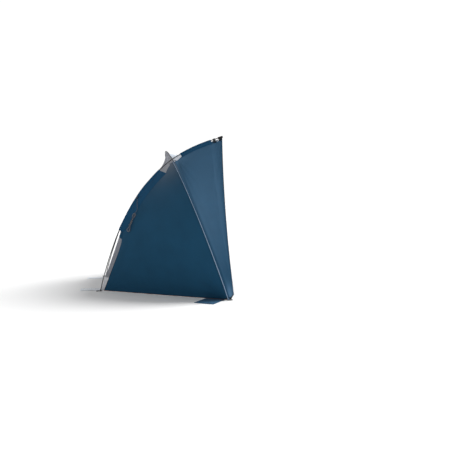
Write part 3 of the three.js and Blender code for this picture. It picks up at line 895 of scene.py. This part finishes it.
class Sewn(NamedTuple):
    """Something sewn to a sheet of cloth."""

    name: str
    grid: np.ndarray
    material: str
    thickness: float
    slot: str = None
    # Per-point painted light, where the cloth has any.
    fade: np.ndarray = None


def add_cloth(name, surface, material, node=None, rests_on=(), sewn=(), slot=None, held="stretched",
              thickness=CLOTH, fade=None, body="shelter"):
    """A sheet over a surface, with what is sewn to it.

    Its cut size is its longest row and column, and its flat area.
    """
    piece = slab(name, surface.grid, material, thickness, fade, body)
    if node:
        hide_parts(node)
    for part in sewn:
        slab(part.name, part.grid, part.material, part.thickness, part.fade, body)
    size = (round(float(surface.widths.max()), 3), round(float(surface.heights.max()), 3))
    area = round(min(surface.area(), size[0] * size[1]), 4)


def binding(name, surface, edge, width, material="binding"):
    """Tape folded over a raw edge, so that it shows on both faces."""
    return Sewn(name, band(surface, edge, width), material, BINDING_THICKNESS)


# ---- Stitching ----


def stitches(name, rows, body="shelter"):
    """Rows of thread, each row a line of points and the directions in which it stands off the cloth."""
    points, faces = [], []
    facets = [facet for a, b in ((1, 2), (2, 3), (3, 4), (4, 1)) for facet in ((0, b, a), (5, a, b))]
    for line, normals in rows:
        route = Route(line)
        spots = np.arange(STITCH_PITCH, route.length - STITCH_PITCH, STITCH_PITCH)
        up = unit(np.stack([np.interp(spots, route.distances, normals[:, k]) for k in range(3)], axis=-1))
        along = route.tangent(spots) * STITCH_LENGTH / 2
        aside, up = unit(np.cross(along, up)) * STITCH_WIDTH / 2, up * STITCH_WIDTH / 2
        ways = (-along, aside, up, -aside, -up, along)
        corners = np.stack([route.point(spots) + way for way in ways], axis=1)
        for first in range(len(points), len(points) + 6 * len(spots), 6):
            faces += [[first + corner for corner in facet] for facet in facets]
        points.extend(corners.reshape(-1, 3))
    return make_mesh(name, points, faces, "thread", body=body, sharp=180)


def seam_line(surface, edge, inset, lift, start=0.0, end=1.0, count=200):
    where = along_edge(surface, edge, np.linspace(start, end, count), inset)
    return surface.point(*where, lift), surface.normal(*where)


def sleeve_seam(panel, widths, start, end, count=200):
    """The line of stitching that holds a sleeve's outer edge to its panel."""
    share = np.linspace(start, end, count)
    depth = lerp(*widths, np.linspace(0, 1, count)) - STITCHED_IN
    return panel.below_top(share, depth, 0.0021), panel.normal(share, 0.95)


# ---- Sleeves ----


def across_curve(controls, count):
    """A smooth curve through the control points of each station, all stations at once."""
    controls = np.stack(controls, axis=1)
    lines = []
    for station in controls:
        line = Route(catmull_rom(station, 10))
        lines.append(line.point(np.linspace(0, line.length, count)))
    return np.array(lines)


def over_pole(side, distances, radius):
    """Points on an arch over a side pole, from its outboard seam to its inboard one."""
    arch = [(0.95, 0.7), (1.0, 0.0), (0.72, -0.72), (0.0, -1.0), (-0.72, -0.72), (-1.0, 0.0), (-0.95, 0.7)]
    return [beside_pole(side, distances, out * radius, inner * radius) for out, inner in arch]


def pole_sleeve(side, start, end, widths, slants, outer, inner):
    """Cloth stitched to the panel outside a pole, over the pole, and to the panel inside it.

    The slants are how far the outer seam runs on past each end of the sleeve. Each panel comes
    with the distances along the pole between which it is joined to it.
    """
    (outside, outer_reach), (inside, inner_reach) = outer, inner
    count = int((end - start) / SLEEVE_STEP)
    distances = np.linspace(start, end, count)
    share = share_of(distances, outer_reach)
    gap = np.linalg.norm(outside.point(share, 1.0) - poles[side].point(distances), axis=1)
    pucker = sum(size * np.sin(distances * 2 * np.pi / pitch) for size, pitch in SLEEVE_PUCKERS)
    depth = np.maximum(0.006, lerp(*widths, np.linspace(0, 1, count)) - gap)
    run_on = slants[1] * np.exp((distances - end) / SLANT_FADES)
    run_on -= slants[0] * np.exp((start - distances) / SLANT_FADES)
    run_on /= outer_reach[1] - outer_reach[0]
    edge_lift, middle_lift = SLEEVE_LIFTS["edge"], SLEEVE_LIFTS["midway"]
    raised = outside.below_top(share + run_on * SLEEVE_MIDWAY, depth * SLEEVE_MIDWAY, middle_lift)
    raised = raised + outside.normal(share, 1.0) * pucker[:, None]
    across = SLEEVE_BAND_ROOF / inside.width(np.clip(share, 0, 1))
    inner_share = np.clip(share_of(distances, inner_reach), 0, 1)
    controls = [outside.below_top(share + run_on, depth, edge_lift), raised]
    controls += over_pole(side, distances, SLEEVE_RADIUS)
    for part, lift in ((SLEEVE_MIDWAY, middle_lift), (1, edge_lift)):
        u = across * part if side < 0 else 1 - across * part
        controls.append(inside.point(u, inner_share, lift))
    return Surface(across_curve(controls, 26))


def hoop_sleeve(side, panel, wing):
    """The seam cover over the hoop: the side panel's part, the wing's part, and a pale strip between them
    that is a painted highlight.
    """
    distances = np.arange(0.006, crossing_at - 0.025, 0.008)
    share = np.clip(share_of(distances, HOOP_EDGE), 0, 1)
    centre = on_hoop(side, distances)
    out = unit(panel.normal(1.0, share) + wing.normal(0.0, share))
    ahead = unit(np.cross(unit(np.gradient(centre, axis=0)), out)) * side

    def round_hoop(arch):
        return [centre + SLEEVE_RADIUS * (a * ahead + o * out) for a, o in arch]

    panel_edge = panel.point(1 - 0.012 / panel.width(share), share, 0.0009)
    wing_edge = wing.point(0.010 / wing.width(share), share, 0.0009)
    behind = [panel_edge] + round_hoop([(-1.05, 0.15), (-0.75, 0.72), (0.0, 0.98), (0.62, 0.84)])
    before = round_hoop([(0.62, 0.84), (0.92, 0.50), (1.05, 0.10)]) + [wing_edge]
    # A pale strip along the sleeve's crest, wider towards the foot: a painted highlight where light catches
    # the sleeve's bulge.
    line = centre + SLEEVE_RADIUS * (0.62 * ahead + 0.86 * out)
    half = 0.0015 + 0.0010 * np.linspace(1, 0, len(centre))[:, None] ** 1.5
    slope = (ahead - out * 0.5) * half
    painted_highlight = np.stack([line + slope * k for k in np.linspace(-1, 1, 5)], axis=1)
    return Surface(across_curve(behind, 16)), Surface(across_curve(before, 10)), Surface(painted_highlight)


# ---- Strips over the crossing ----


def gap_strip(side, panel, edge, reach, widths, beside, slant):
    """A strip sewn along a panel's top edge that closes the gap up to the pole.

    The slant is how far along the pole its first corner on the panel is set.
    """
    distances = np.linspace(*reach, 30)
    share = np.clip(share_of(distances, edge), 0, 1)
    depth = lerp(*widths, np.linspace(0, 1, 30))
    run_on = slant * np.exp((reach[0] - distances) / 0.05) / (edge[1] - edge[0])
    controls = [panel.below_top(share + run_on * part, depth * part, 0.0008) for part in (1, 0.5, 0)]
    return Surface(across_curve([*controls, beside_pole(side, distances, *beside)], 10))


def corner_fill(side, panel, rear, reach=(0.12, 0.18)):
    """Cloth between the side panel and the rear panel, below the end of the sleeve."""
    along = np.linspace(0, 1, 24)
    outer = panel.point(along * reach[0], 1.0)
    inner = rear.point(0.0 if side < 0 else 1.0, along * reach[1])
    return Surface(np.stack([lerp(outer, inner, k) for k in np.linspace(0, 1, 8)], axis=1))


# ---- Poles ----


def ferrule_radii(steps):
    """A tube rolled down at both ends, at steps from -1 to 1 along it."""
    radii = np.where(np.abs(steps) > 0.92, FERRULE_ROLLED_RADIUS, FERRULE_RADIUS)
    return np.where(np.abs(np.abs(steps) - 0.97) < 0.01, FERRULE_RADIUS + 0.0002, radii)


def pole_tips(route, tips):
    """A domed plastic tip with a collar on each end of a pole."""
    angles = np.radians(range(0, 91, 15))
    dome = [(TIP_RADIUS * (1 - math.cos(a)), TIP_RADIUS * math.sin(a)) for a in angles]
    collar = [(TIP_LENGTH - 0.005, TIP_RADIUS), (TIP_LENGTH - 0.0045, TIP_RADIUS + 0.0006)]
    collar += [(TIP_LENGTH - 0.001, TIP_RADIUS + 0.0006), (TIP_LENGTH, TIP_RADIUS), (TIP_LENGTH, 0)]
    for node, start, direction in ((tips[0], TIP_CLEAR, 1), (tips[1], route.length - TIP_CLEAR, -1)):
        piece = lathe(f"{node}_turned", route, start, direction, dome + collar, "black_plastic")
        stand_in(piece, "black_plastic", node)


def pole_pieces(prefix, route, rods, tips):
    """Rods, ferrules, elastic and end tips of one shock-corded pole."""
    first = TIP_CLEAR + TIP_LENGTH + GAP
    rod = (route.length - 2 * first) / rods
    for i in range(rods):
        start = first + i * rod + (GAP if i else 0)
        line = route.point(np.linspace(start, first + (i + 1) * rod, 60))
        piece = turned(f"{prefix}_rod_{i + 1}_round", line, np.full(60, ROD_RADIUS), "fibreglass")
        stand_in(piece, "fibreglass", f"{prefix}_rod_{i + 1}")
    steps = np.array([-1, -0.97, -0.94, *np.linspace(-0.9, 0.9, 13), 0.94, 0.97, 1])
    for i in range(1, rods):
        line = route.point(first + i * rod + steps * rod / 10)
        piece = turned(f"{prefix}_ferrule_{i}_turned", line, ferrule_radii(steps), "ferrule", sharp=35)
        stand_in(piece, "ferrule", f"{prefix}_ferrule_{i}")
    line = route.point(np.linspace(first, route.length - first, 160))
    piece = turned(f"{prefix}_elastic", line, np.full(160, SHOCK_CORD_RADIUS), "elastic_cord", 10)
    stand_in(piece, "elastic_cord", f"{prefix}_shock_cord")
    pole_tips(route, tips)


def roof_cup(name, route):
    """The cup on a roof corner, ribbed outside, that takes a pole tip."""
    profile = [(-CUP_WALL, 0), (-CUP_WALL, CUP_RADIUS - 0.0015), (-CUP_WALL + 0.0012, CUP_RADIUS)]
    for rib in (0.004, 0.010, 0.016, 0.022, 0.028):
        profile += [(rib, CUP_RADIUS), (rib + 0.0008, CUP_RADIUS - 0.0007)]
        profile += [(rib + 0.0022, CUP_RADIUS - 0.0007), (rib + 0.003, CUP_RADIUS)]
    profile += [(CUP_LENGTH - 0.001, CUP_RADIUS), (CUP_LENGTH, CUP_RADIUS - 0.001)]
    profile += [(CUP_LENGTH, CUP_BORE), (0, CUP_BORE), (0, 0)]
    piece = lathe(f"{name}_turned", route, route.length, -1, profile, "black_plastic", 32)
    stand_in(piece, "black_plastic", name)


# ---- Cord ----

GUYLINE_DIAMETER = 0.003
GUYLINE_ROUTE = [
    at(-0.487, 0.319, 0.799),
    at(-0.504, 0.319, 0.775),
    at(-0.521, 0.319, 0.752),
    at(-0.537, 0.319, 0.728),
    at(-0.552, 0.318, 0.704),
    at(-0.554, 0.309, 0.689),
    at(-0.552, 0.299, 0.680),
]
HANK_LEAD_IN = [
    at(-0.5565, 0.2925, 0.6690),
    at(-0.5575, 0.2870, 0.6590),
    at(-0.5545, 0.2815, 0.6500),
    at(-0.5480, 0.2785, 0.6470),
    at(-0.5435, 0.2783, 0.6490),
]
HANK_TOP, HANK_BOTTOM = at(-0.552, 0.297, 0.676), at(-0.553, 0.237, 0.517)
HANK_LOOP_RADIUS = 0.0155
HANK_TURNS = 3
WAIST_WRAPS = 10
WRAP_POINTS = 12
STRAND_STEP = 0.0031
HANK_OUTWARD = np.array([-0.85, 0.45, 0.25])


def hank_points():
    """Figure-eight turns of cord from end to end, then wraps round their waist."""
    along = unit(HANK_BOTTOM - HANK_TOP)
    out = unit(HANK_OUTWARD - along * np.dot(HANK_OUTWARD, along))
    aside = np.cross(out, along)
    half = np.linalg.norm(HANK_BOTTOM - HANK_TOP) / 2
    centre = (HANK_TOP + HANK_BOTTOM) / 2
    flat = []
    for strand in range(2 * HANK_TURNS):
        end = 1 if strand % 2 else -1
        radius = HANK_LOOP_RADIUS - (strand // 2) * GUYLINE_DIAMETER
        lift = lerp(-0.0035, 0.0035, strand / (2 * HANK_TURNS - 1))
        middle = half - GUYLINE_DIAMETER / 2 - HANK_LOOP_RADIUS
        for angle in np.radians(np.linspace(-125, 125, 9)):
            reach = end * (middle + radius * math.cos(angle))
            flat.append((reach, radius * math.sin(angle), lift))
        column, row = strand % 3 - 1, (strand // 3) - 0.5
        flat.append((0.018 * end, column * STRAND_STEP, row * STRAND_STEP))
        flat.append((-0.018 * end, column * STRAND_STEP, row * STRAND_STEP))
    flat += [(-0.0215, 0.0040, 0.0025), (-0.0225, 0.0045, 0.0050)]
    flat += [(-0.0200, 0.0040, 0.0064), (-0.0170, 0.0022, 0.0060)]
    for step in range(WAIST_WRAPS * WRAP_POINTS):
        angle = 2 * math.pi * step / WRAP_POINTS + math.pi / 2
        reach = lerp(-0.5, 0.5, step / (WAIST_WRAPS * WRAP_POINTS)) * WAIST_WRAPS * STRAND_STEP
        flat.append((reach, 0.0064 * math.cos(angle), 0.0048 * math.sin(angle)))
    flat += [(0.018, -0.0045, 0.0055), (0.026, -0.0095, 0.0058)]
    return [centre + along * a + aside * b + out * c for a, b, c in flat]


def guyline():
    line = catmull_rom(GUYLINE_ROUTE + HANK_LEAD_IN + hank_points(), 6)
    data = bpy.data.curves.new("left_guyline", "CURVE")
    data.dimensions = "3D"
    data.bevel_depth = GUYLINE_DIAMETER / 2
    data.bevel_resolution = 3
    data.use_fill_caps = True
    spline = data.splines.new("POLY")
    spline.points.add(len(line) - 1)
    spline.points.foreach_set("co", np.concatenate([line, np.ones((len(line), 1))], axis=1).ravel())
    data.materials.append(finish["guyline_cord"])
    piece = add_object("left_guyline", data)
    stand_in(piece, "guyline_cord", "guyline", "guyline_hank")
    knot = end_knot(line[-1])


def end_knot(place):
    """An overhand knot pulled tight on the end of the cord."""
    t = np.linspace(0, 2 * math.pi, 61)
    shape = [np.sin(t) + 2 * np.sin(2 * t), np.cos(t) - 2 * np.cos(2 * t), -np.sin(3 * t)]
    line = place + np.stack(shape, axis=-1) * np.array([0.0011, 0.0011, 0.0013])
    return turned("left_guyline_knot", line, np.full(61, 0.0013), "guyline_cord", 10)


make_camera()
make_light()
guyline()

# ---- Assembly: cloth ----

roof, rear = roof_front(), rear_upper()
panels = {side: side_panel(side) for side in (-1, 1)}
wings = {side: front_wing(side) for side in (-1, 1)}


def hem(name, surface, edge, width, material="body_fabric", paint_light=None):
    """A folded hem on the outer face of a panel's edge."""
    grid = band(surface, edge, width, HEM_LIFT)
    fade = paint_light(Surface(grid), surface) if paint_light else None
    return Sewn(name, grid, material, HEM_THICKNESS, material, fade)


def patch(name, surface, edge, width, start, end, count, rows):
    """A doubled piece of cloth on a panel's outer face."""
    grid = band(surface, edge, width, PATCH_LIFT, start, end, count, rows)
    return Sewn(name, grid, "binding", PATCH_THICKNESS)


def add_side_panel(name, side):
    panel = panels[side]
    sewn = [
        hem(f"{name}_side_hem", panel, "bottom", HEM),
        # A thin reddish-brown tape along the bottom edge: a painted shadow line.
        binding(f"{name}_side_painted_shadow_line", panel, "bottom", 0.005, "painted_shadow_line"),
        binding(f"{name}_side_rear_tape", panel, "left", 0.007),
    ]
    # Painted sheen towards the crossing of the poles.
    fade = side_painted_sheen(panel, side_top_corner(side))
    held_by = [f"{name}_pole_rod_2", HOOP_RODS[side]]
    add_cloth(f"{name}_side_cloth", panel, "body_fabric", f"{name}_side_panel", held_by, sewn, fade=fade)


def add_front_wing(name, side):
    wing = wings[side]
    clip_share, half_tab = share_of(clip_at, WING_TOP), 0.017 / wing.width(1.0)
    tab = (clip_share - half_tab, clip_share + half_tab)
    sewn = [
        # The front hem gets the wing's painted light.
        hem(f"{name}_wing_front_hem", wing, "right", 0.016, "wing_fabric", wing_painted_light),
        binding(f"{name}_wing_front_binding", wing, "right", 0.006),
        binding(f"{name}_wing_foot_binding", wing, "bottom", 0.012, "webbing"),
        patch(f"{name}_wing_corner_patch", wing, "right", 0.022, 0.990, 1.0, 12, 8),
        patch(f"{name}_wing_clip_tab", wing, "top", 0.015, *tab, 10, 6),
    ]
    # Painted lighting upward, and painted highlights at the crossing and at the hoop foot.
    fade = wing_painted_light(wing, wing)
    held_by = [f"{name}_pole_rod_3", HOOP_RODS[side]]
    add_cloth(f"{name}_wing_cloth", wing, "wing_fabric", f"{name}_front_wing", held_by, sewn, fade=fade)


def add_pole_sleeves(name, side):
    rear_panels = ((panels[side], SIDE_TOP), (rear, REAR_TOP))
    front_panels = ((wings[side], WING_TOP), (roof, ROOF_TOP))
    sleeves = {
        "rear": (2, sleeve_end, vent_rear, REAR_SLEEVE_BAND, (-0.050, 0.030), *rear_panels),
        "front": (3, vent_front - 0.010, front_sleeve_end, FRONT_SLEEVE_BAND, (0.012, 0), *front_panels),
    }
    for part, (rod, *shape) in sleeves.items():
        sleeve, node = pole_sleeve(side, *shape), f"{name}_{part}_sleeve"
        held_by = [f"{name}_pole_rod_{rod}"]
        add_cloth(f"{node}_cloth", sleeve, "sleeve_fabric", node, held_by, thickness=COVER)


def add_hoop_sleeve(name, side):
    cover, lap, painted_highlight = hoop_sleeve(side, panels[side], wings[side])
    # The pale strip along the hoop sleeve is a painted highlight.
    sewn = [Sewn(f"{name}_hoop_piping", painted_highlight.grid, "painted_highlight", 0.0014, "pale_fabric")]
    for part, half in (("rear", cover), ("front", lap)):
        cuff = band(half, "bottom", 0.020, PATCH_LIFT)
        sewn.append(Sewn(f"{name}_hoop_{part}_cuff", cuff, "webbing", 0.0013))
    shared = {"rests_on": [HOOP_RODS[side]], "thickness": COVER}
    # The hoop sleeve's cover gets the side cloth's painted sheen.
    fade = side_painted_sheen(cover, side_top_corner(side))
    looks = {"material": "body_fabric", "slot": "sleeve_fabric", "fade": fade}
    add_cloth(f"{name}_hoop_sleeve_cloth", cover, node=f"{name}_hoop_sleeve", sewn=sewn, **looks, **shared)
    # The lap gets the wing's painted light.
    add_cloth(f"{name}_hoop_lap_cloth", lap, "wing_fabric", fade=wing_painted_light(lap, wings[side]), **shared)


def add_strips(name, side):
    """The strips along the poles near the crossing and the cup, and the cloth below the rear sleeve."""
    side_edge, wing_edge = (panels[side], SIDE_TOP), (wings[side], WING_TOP)
    for part, strip in STRIPS.items():
        edge = side_edge if part == "rear_crossing_tape" else wing_edge
        cloth = gap_strip(side, *edge, *strip["shape"])
        add_cloth(f"{name}_{part}", cloth, strip["look"], slot=strip["slot"], thickness=COVER)
    fill = corner_fill(side, panels[side], rear)
    add_cloth(f"{name}_rear_corner_cloth", fill, "body_fabric", thickness=COVER)


def add_panel_stitching(name, side):
    panel, wing = panels[side], wings[side]
    rows = [
        seam_line(panel, "bottom", HEM - 0.003, STITCH_LIFT),
        sleeve_seam(panel, REAR_SLEEVE_BAND, 0.14, 0.78),
        seam_line(wing, "right", 0.013, STITCH_LIFT),
        sleeve_seam(wing, FRONT_SLEEVE_BAND, 0.18, 0.78),
    ]
    stitches(f"{name}_panel_stitching", rows)


def add_roof_and_rear():
    sewn = [
        hem("roof_front_hem", roof, "top", HEM),
        binding("roof_front_binding", roof, "top", 0.006),
        binding("roof_vent_tape", roof, "bottom", 0.010),
    ]
    held_by = [f"{name}_pole_rod_3" for name in SIDES]
    add_cloth("roof_cloth", roof, "body_fabric", "roof_panel", held_by, sewn)
    sewn = [
        binding("rear_window_top_tape", rear, "bottom", 0.012),
        binding("rear_vent_tape", rear, "top", 0.010),
    ]
    held_by = [f"{name}_pole_rod_2" for name in SIDES]
    add_cloth("rear_cloth", rear, "body_fabric", "rear_panel", held_by, sewn)


def add_nets_and_kick_strip():
    held_by = ["hoop_rod_3", "hoop_rod_4"]
    # The vent is one mesh: its front half is painted pale as lit, and its rear half grey as shaded.
    for which, net in (("rear", "grey_mesh"), ("front", "vent_lit_mesh")):
        half = vent_half(which)
        add_cloth(f"vent_{which}_net", half, net, "vent_mesh", held_by, slot="grey_mesh", held="hung")
    window = rear_wall(KICK_HEIGHT + 0.002, REAR_PANEL_HEIGHT, 40)
    add_cloth("rear_window_net", window, "grey_mesh", "rear_window_mesh")
    kick = rear_wall(GROUND_CLEAR, KICK_HEIGHT + 0.006, 14)
    sewn = [binding("rear_kick_top_tape", kick, "top", 0.010, "tape_grey")]
    looks = {"slot": "pale_fabric", "thickness": 0.0008}
    add_cloth("rear_kick_cloth", kick, "kick_fabric", "rear_kick_strip", sewn=sewn, **looks)


def add_groundsheet():
    ground = groundsheet_surface()
    sewn = []
    for edge in ("bottom", "top"):
        tape = band(ground, edge, 0.016)
        sewn.append(Sewn(f"groundsheet_{edge}_hem", tape, "kick_fabric", 0.0018))
    lying = {"held": "laid", "thickness": 0.0007}
    add_cloth("groundsheet_cloth", ground, "groundsheet_film", "groundsheet", sewn=sewn, **lying)


# Each strip's reach along the pole, widths at its ends, place beside the pole, and slant
STRIPS = {
    # Painted shade: the rear crossing tape is grey like the shaded rear vent half.
    "rear_crossing_tape": {
        "shape": ((vent_rear - 0.004, pole_crossing - 0.012), (0.100, 0.015), (0.0045, 0.0052), 0.026),
        "look": "tape_grey",
        "slot": "grey_mesh",
    },
    # Painted light: the front crossing tape is pale like the lit front vent half.
    "front_crossing_tape": {
        "shape": ((pole_crossing + 0.006, vent_front + 0.004), (0.006, 0.012), (0.0060, 0.0070), 0),
        "look": "crossing_lit_tape",
        "slot": "pale_fabric",
    },
    "cup_tape": {
        "shape": ((pole_length - 0.036, roof_corner_at), (0.012, 0.014), (CUP_RADIUS + 0.0006, 0.0020), 0),
        "look": "webbing",
        "slot": "webbing",
    },
}

for name, side in SIDES.items():
    add_side_panel(name, side)
    add_front_wing(name, side)
    add_pole_sleeves(name, side)
    add_hoop_sleeve(name, side)
    add_strips(name, side)
    add_panel_stitching(name, side)
add_roof_and_rear()
add_nets_and_kick_strip()
add_groundsheet()

# ---- Assembly: ground flaps, straps and loops ----


def flap_surface(start, along, outward, flap):
    """A flap lying on the ground from a seam outward, a little uneven away from the seam."""
    w = np.linspace(0, flap["width"], 45)[None, :, None]
    out = np.linspace(0, flap["length"], 55)[:, None, None]
    grid = start + along * w + outward * out
    lying = np.abs(slow_waves(w[..., 0] * 9, out[..., 0] * 11, 0.0035))
    grid[..., 2] += lying * np.minimum(1, out[..., 0] * 20)
    return Surface(grid)


def front_flap(side):
    foot = side_foot(side)
    rearward = unit((rear_corner(side, 0) - foot) * np.array([1, 1, 0]))
    outward = np.array([side * rearward[1], -side * rearward[0], 0])
    start = foot + rearward * FRONT_FLAP["from_corner"] + outward * FLAP_SPACE
    return flap_surface(start, rearward, outward, FRONT_FLAP)


def rear_flap(side):
    across = REAR_CORNER["across"][0] - REAR_FLAP["from_corner"]
    start = at(side * across, REAR_CORNER["forward"][0] - SEAM_INSET, GROUND_CLEAR)
    return flap_surface(start, np.array([-side, 0, 0]), np.array([0, 1.0, 0]), REAR_FLAP)


def add_flap(name, surface, cloth, slot):
    """A flap and the hems round its three free edges, all on the flap's own body."""
    edges = {"left": FLAP_HEM_START, "right": FLAP_HEM_START, "top": 0.0}
    sewn = []
    for edge, start in edges.items():
        grid = band(surface, edge, 0.012, HEM_LIFT, start)
        sewn.append(Sewn(f"{name}_{edge}_hem", grid, cloth, 0.0012, slot))
    lying = {"slot": slot, "held": "laid", "thickness": 0.0008, "body": name}
    add_cloth(f"{name}_cloth", surface, cloth, name, sewn=sewn, **lying)
    rows = [seam_line(surface, edge, 0.010, 0.0016, start) for edge, start in edges.items()]
    stitches(f"{name}_stitching", rows, name)


def strap(name, eye, end):
    """A short strap with a round end and a pressed eyelet that drops over a pole tip."""
    reach = end - eye
    length, heading = np.linalg.norm(reach[:2]), math.atan2(reach[1], reach[0])
    angles = np.arange(96) * 2 * math.pi / 96
    half = STRAP_WIDTH / 2
    side_on = np.maximum(np.abs(np.sin(angles)), 1e-3)
    end_on = np.maximum(np.cos(angles), 1e-3)
    outer = np.where(np.cos(angles) > 0, np.minimum(half / side_on, length / end_on), half)
    radii = lerp(STRAP_EYE, outer, np.linspace(0, 1, 6)[:, None])
    directions = np.stack([np.cos(angles + heading), np.sin(angles + heading), 0 * angles], axis=-1)
    centre = np.array([eye[0], eye[1], 0.00105])
    piece = slab(f"{name}_webbing", centre + directions * radii[..., None], "webbing", 0.0014, ring=True)
    stand_in(piece, "webbing", name)
    collar = lerp(STRAP_EYE - 0.0006, STRAP_EYE + 0.0018, np.linspace(0, 1, 4)[:, None])
    rings = centre + directions * (collar + 0 * angles)[..., None]
    slab(f"{name}_eyelet", rings, "ferrule", 0.0019, ring=True)


def loop_tape(name, base, outward, width_along, reach, width, spread):
    """A folded loop of tape sewn in at its two ends."""
    t = np.linspace(0, math.pi, 25)
    across = unit(np.cross(outward, width_along))
    path = base + np.sin(t)[:, None] * outward * reach + np.cos(t)[:, None] * across * spread
    grid = np.stack([path + width_along * width * k for k in np.linspace(-0.5, 0.5, 5)])
    slab(name, grid, "webbing", 0.0011)


def add_straps_and_loops(name, side):
    """Eyelet straps under the feet, peg loops beside them, and the loop that a guyline is tied to."""
    hoop_foot, upright = on_hoop(side, 0), np.array([0, 0, 1.0])
    strap(f"{name}_rear_foot_strap", poles[side].point(0), at(side * 0.449, 0.010, 0))
    strap(f"{name}_hoop_foot_strap", hoop_foot, at(side * 1.062, 1.022, 0))
    hoop_base = hoop_foot + np.array([side * 0.004, -0.006, 0.0045])
    guy_base = poles[side].point(guy_loop_at) + np.array([side * 0.009, 0, -0.002])
    along_pole = poles[side].tangent(guy_loop_at)
    # Each loop's base, the way it points, the way its tape is wide, and its reach, width and spread
    loops = {
        "peg": (at(side * 0.474, -0.008, 0.0045), (side * 0.55, 0.84, 0), upright, 0.030, 0.006, 0.004),
        "hoop_peg": (hoop_base, (side * 0.5, -0.86, 0), upright, 0.022, 0.006, 0.004),
        "guy": (guy_base, (side * 0.8, 0.35, -0.45), along_pole, 0.020, 0.012, 0.003),
    }
    for part, (base, outward, *shape) in loops.items():
        loop_tape(f"{name}_{part}_loop", base, unit(np.array(outward)), *shape)


for name, side in SIDES.items():
    add_flap(f"{name}_front_flap", front_flap(side), "flap_fabric", "wing_fabric")
    add_flap(f"{name}_rear_flap", rear_flap(side), "pale_fabric", "pale_fabric")
    add_straps_and_loops(name, side)

# ---- Assembly: poles ----

for name, side in SIDES.items():
    pole_pieces(f"{name}_pole", poles[side], 3, [f"{name}_rear_foot_tip", f"{name}_roof_tip"])
    roof_cup(f"{name}_roof_cup", poles[side])
    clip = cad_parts[f"{name}_roof_clip"]
    clip.data.materials.clear()
    clip.data.materials.append(finish["black_plastic"])
    bevel = clip.modifiers.new("rounded", "BEVEL")
    bevel.width, bevel.segments = 0.001, 3
pole_pieces("hoop", hoop, 6, ["left_hoop_foot_tip", "right_hoop_foot_tip"])

# ---- Floor ----


def add_stage(name, points, faces, material):
    """A mesh that belongs to the studio and not to the part."""
    mesh = bpy.data.meshes.new(name)
    mesh.from_pydata(points, [], faces)
    mesh.materials.append(material)
    piece = bpy.data.objects.new(name, mesh)
    studio.collection.objects.link(piece)
    return piece


def make_floor():
    ends = (-FLOOR_REACH, FLOOR_REACH)
    corners = [(ends[i], ends[j], -FLOOR_DROP) for i, j in ((0, 0), (1, 0), (1, 1), (0, 1))]
    add_stage("studio_floor", corners, [(0, 1, 2, 3)], ground_finish())


def make_backdrop():
    """A white dome far behind everything, which only the camera sees."""
    columns = 48
    around = np.arange(columns) * 2 * math.pi / columns
    rings = [
        np.stack([np.cos(h) * np.cos(around), np.cos(h) * np.sin(around), np.sin(h) + 0 * around], axis=-1)
        for h in np.radians(np.linspace(0, 90, 10))
    ]
    points = (np.concatenate(rings) * BACKDROP_REACH).tolist()
    faces = grid_quads(len(rings), columns, around=True).tolist()
    glow = {"Emission_Color": (1, 1, 1, 1), "Emission_Strength": 1.0, "Base_Color": (0, 0, 0, 1)}
    white = Paint("studio_backdrop", **glow)
    dome = add_stage("studio_backdrop", points, faces, white.material)
    dome.visible_diffuse = dome.visible_glossy = dome.visible_transmission = dome.visible_shadow = False


make_floor()
make_backdrop()
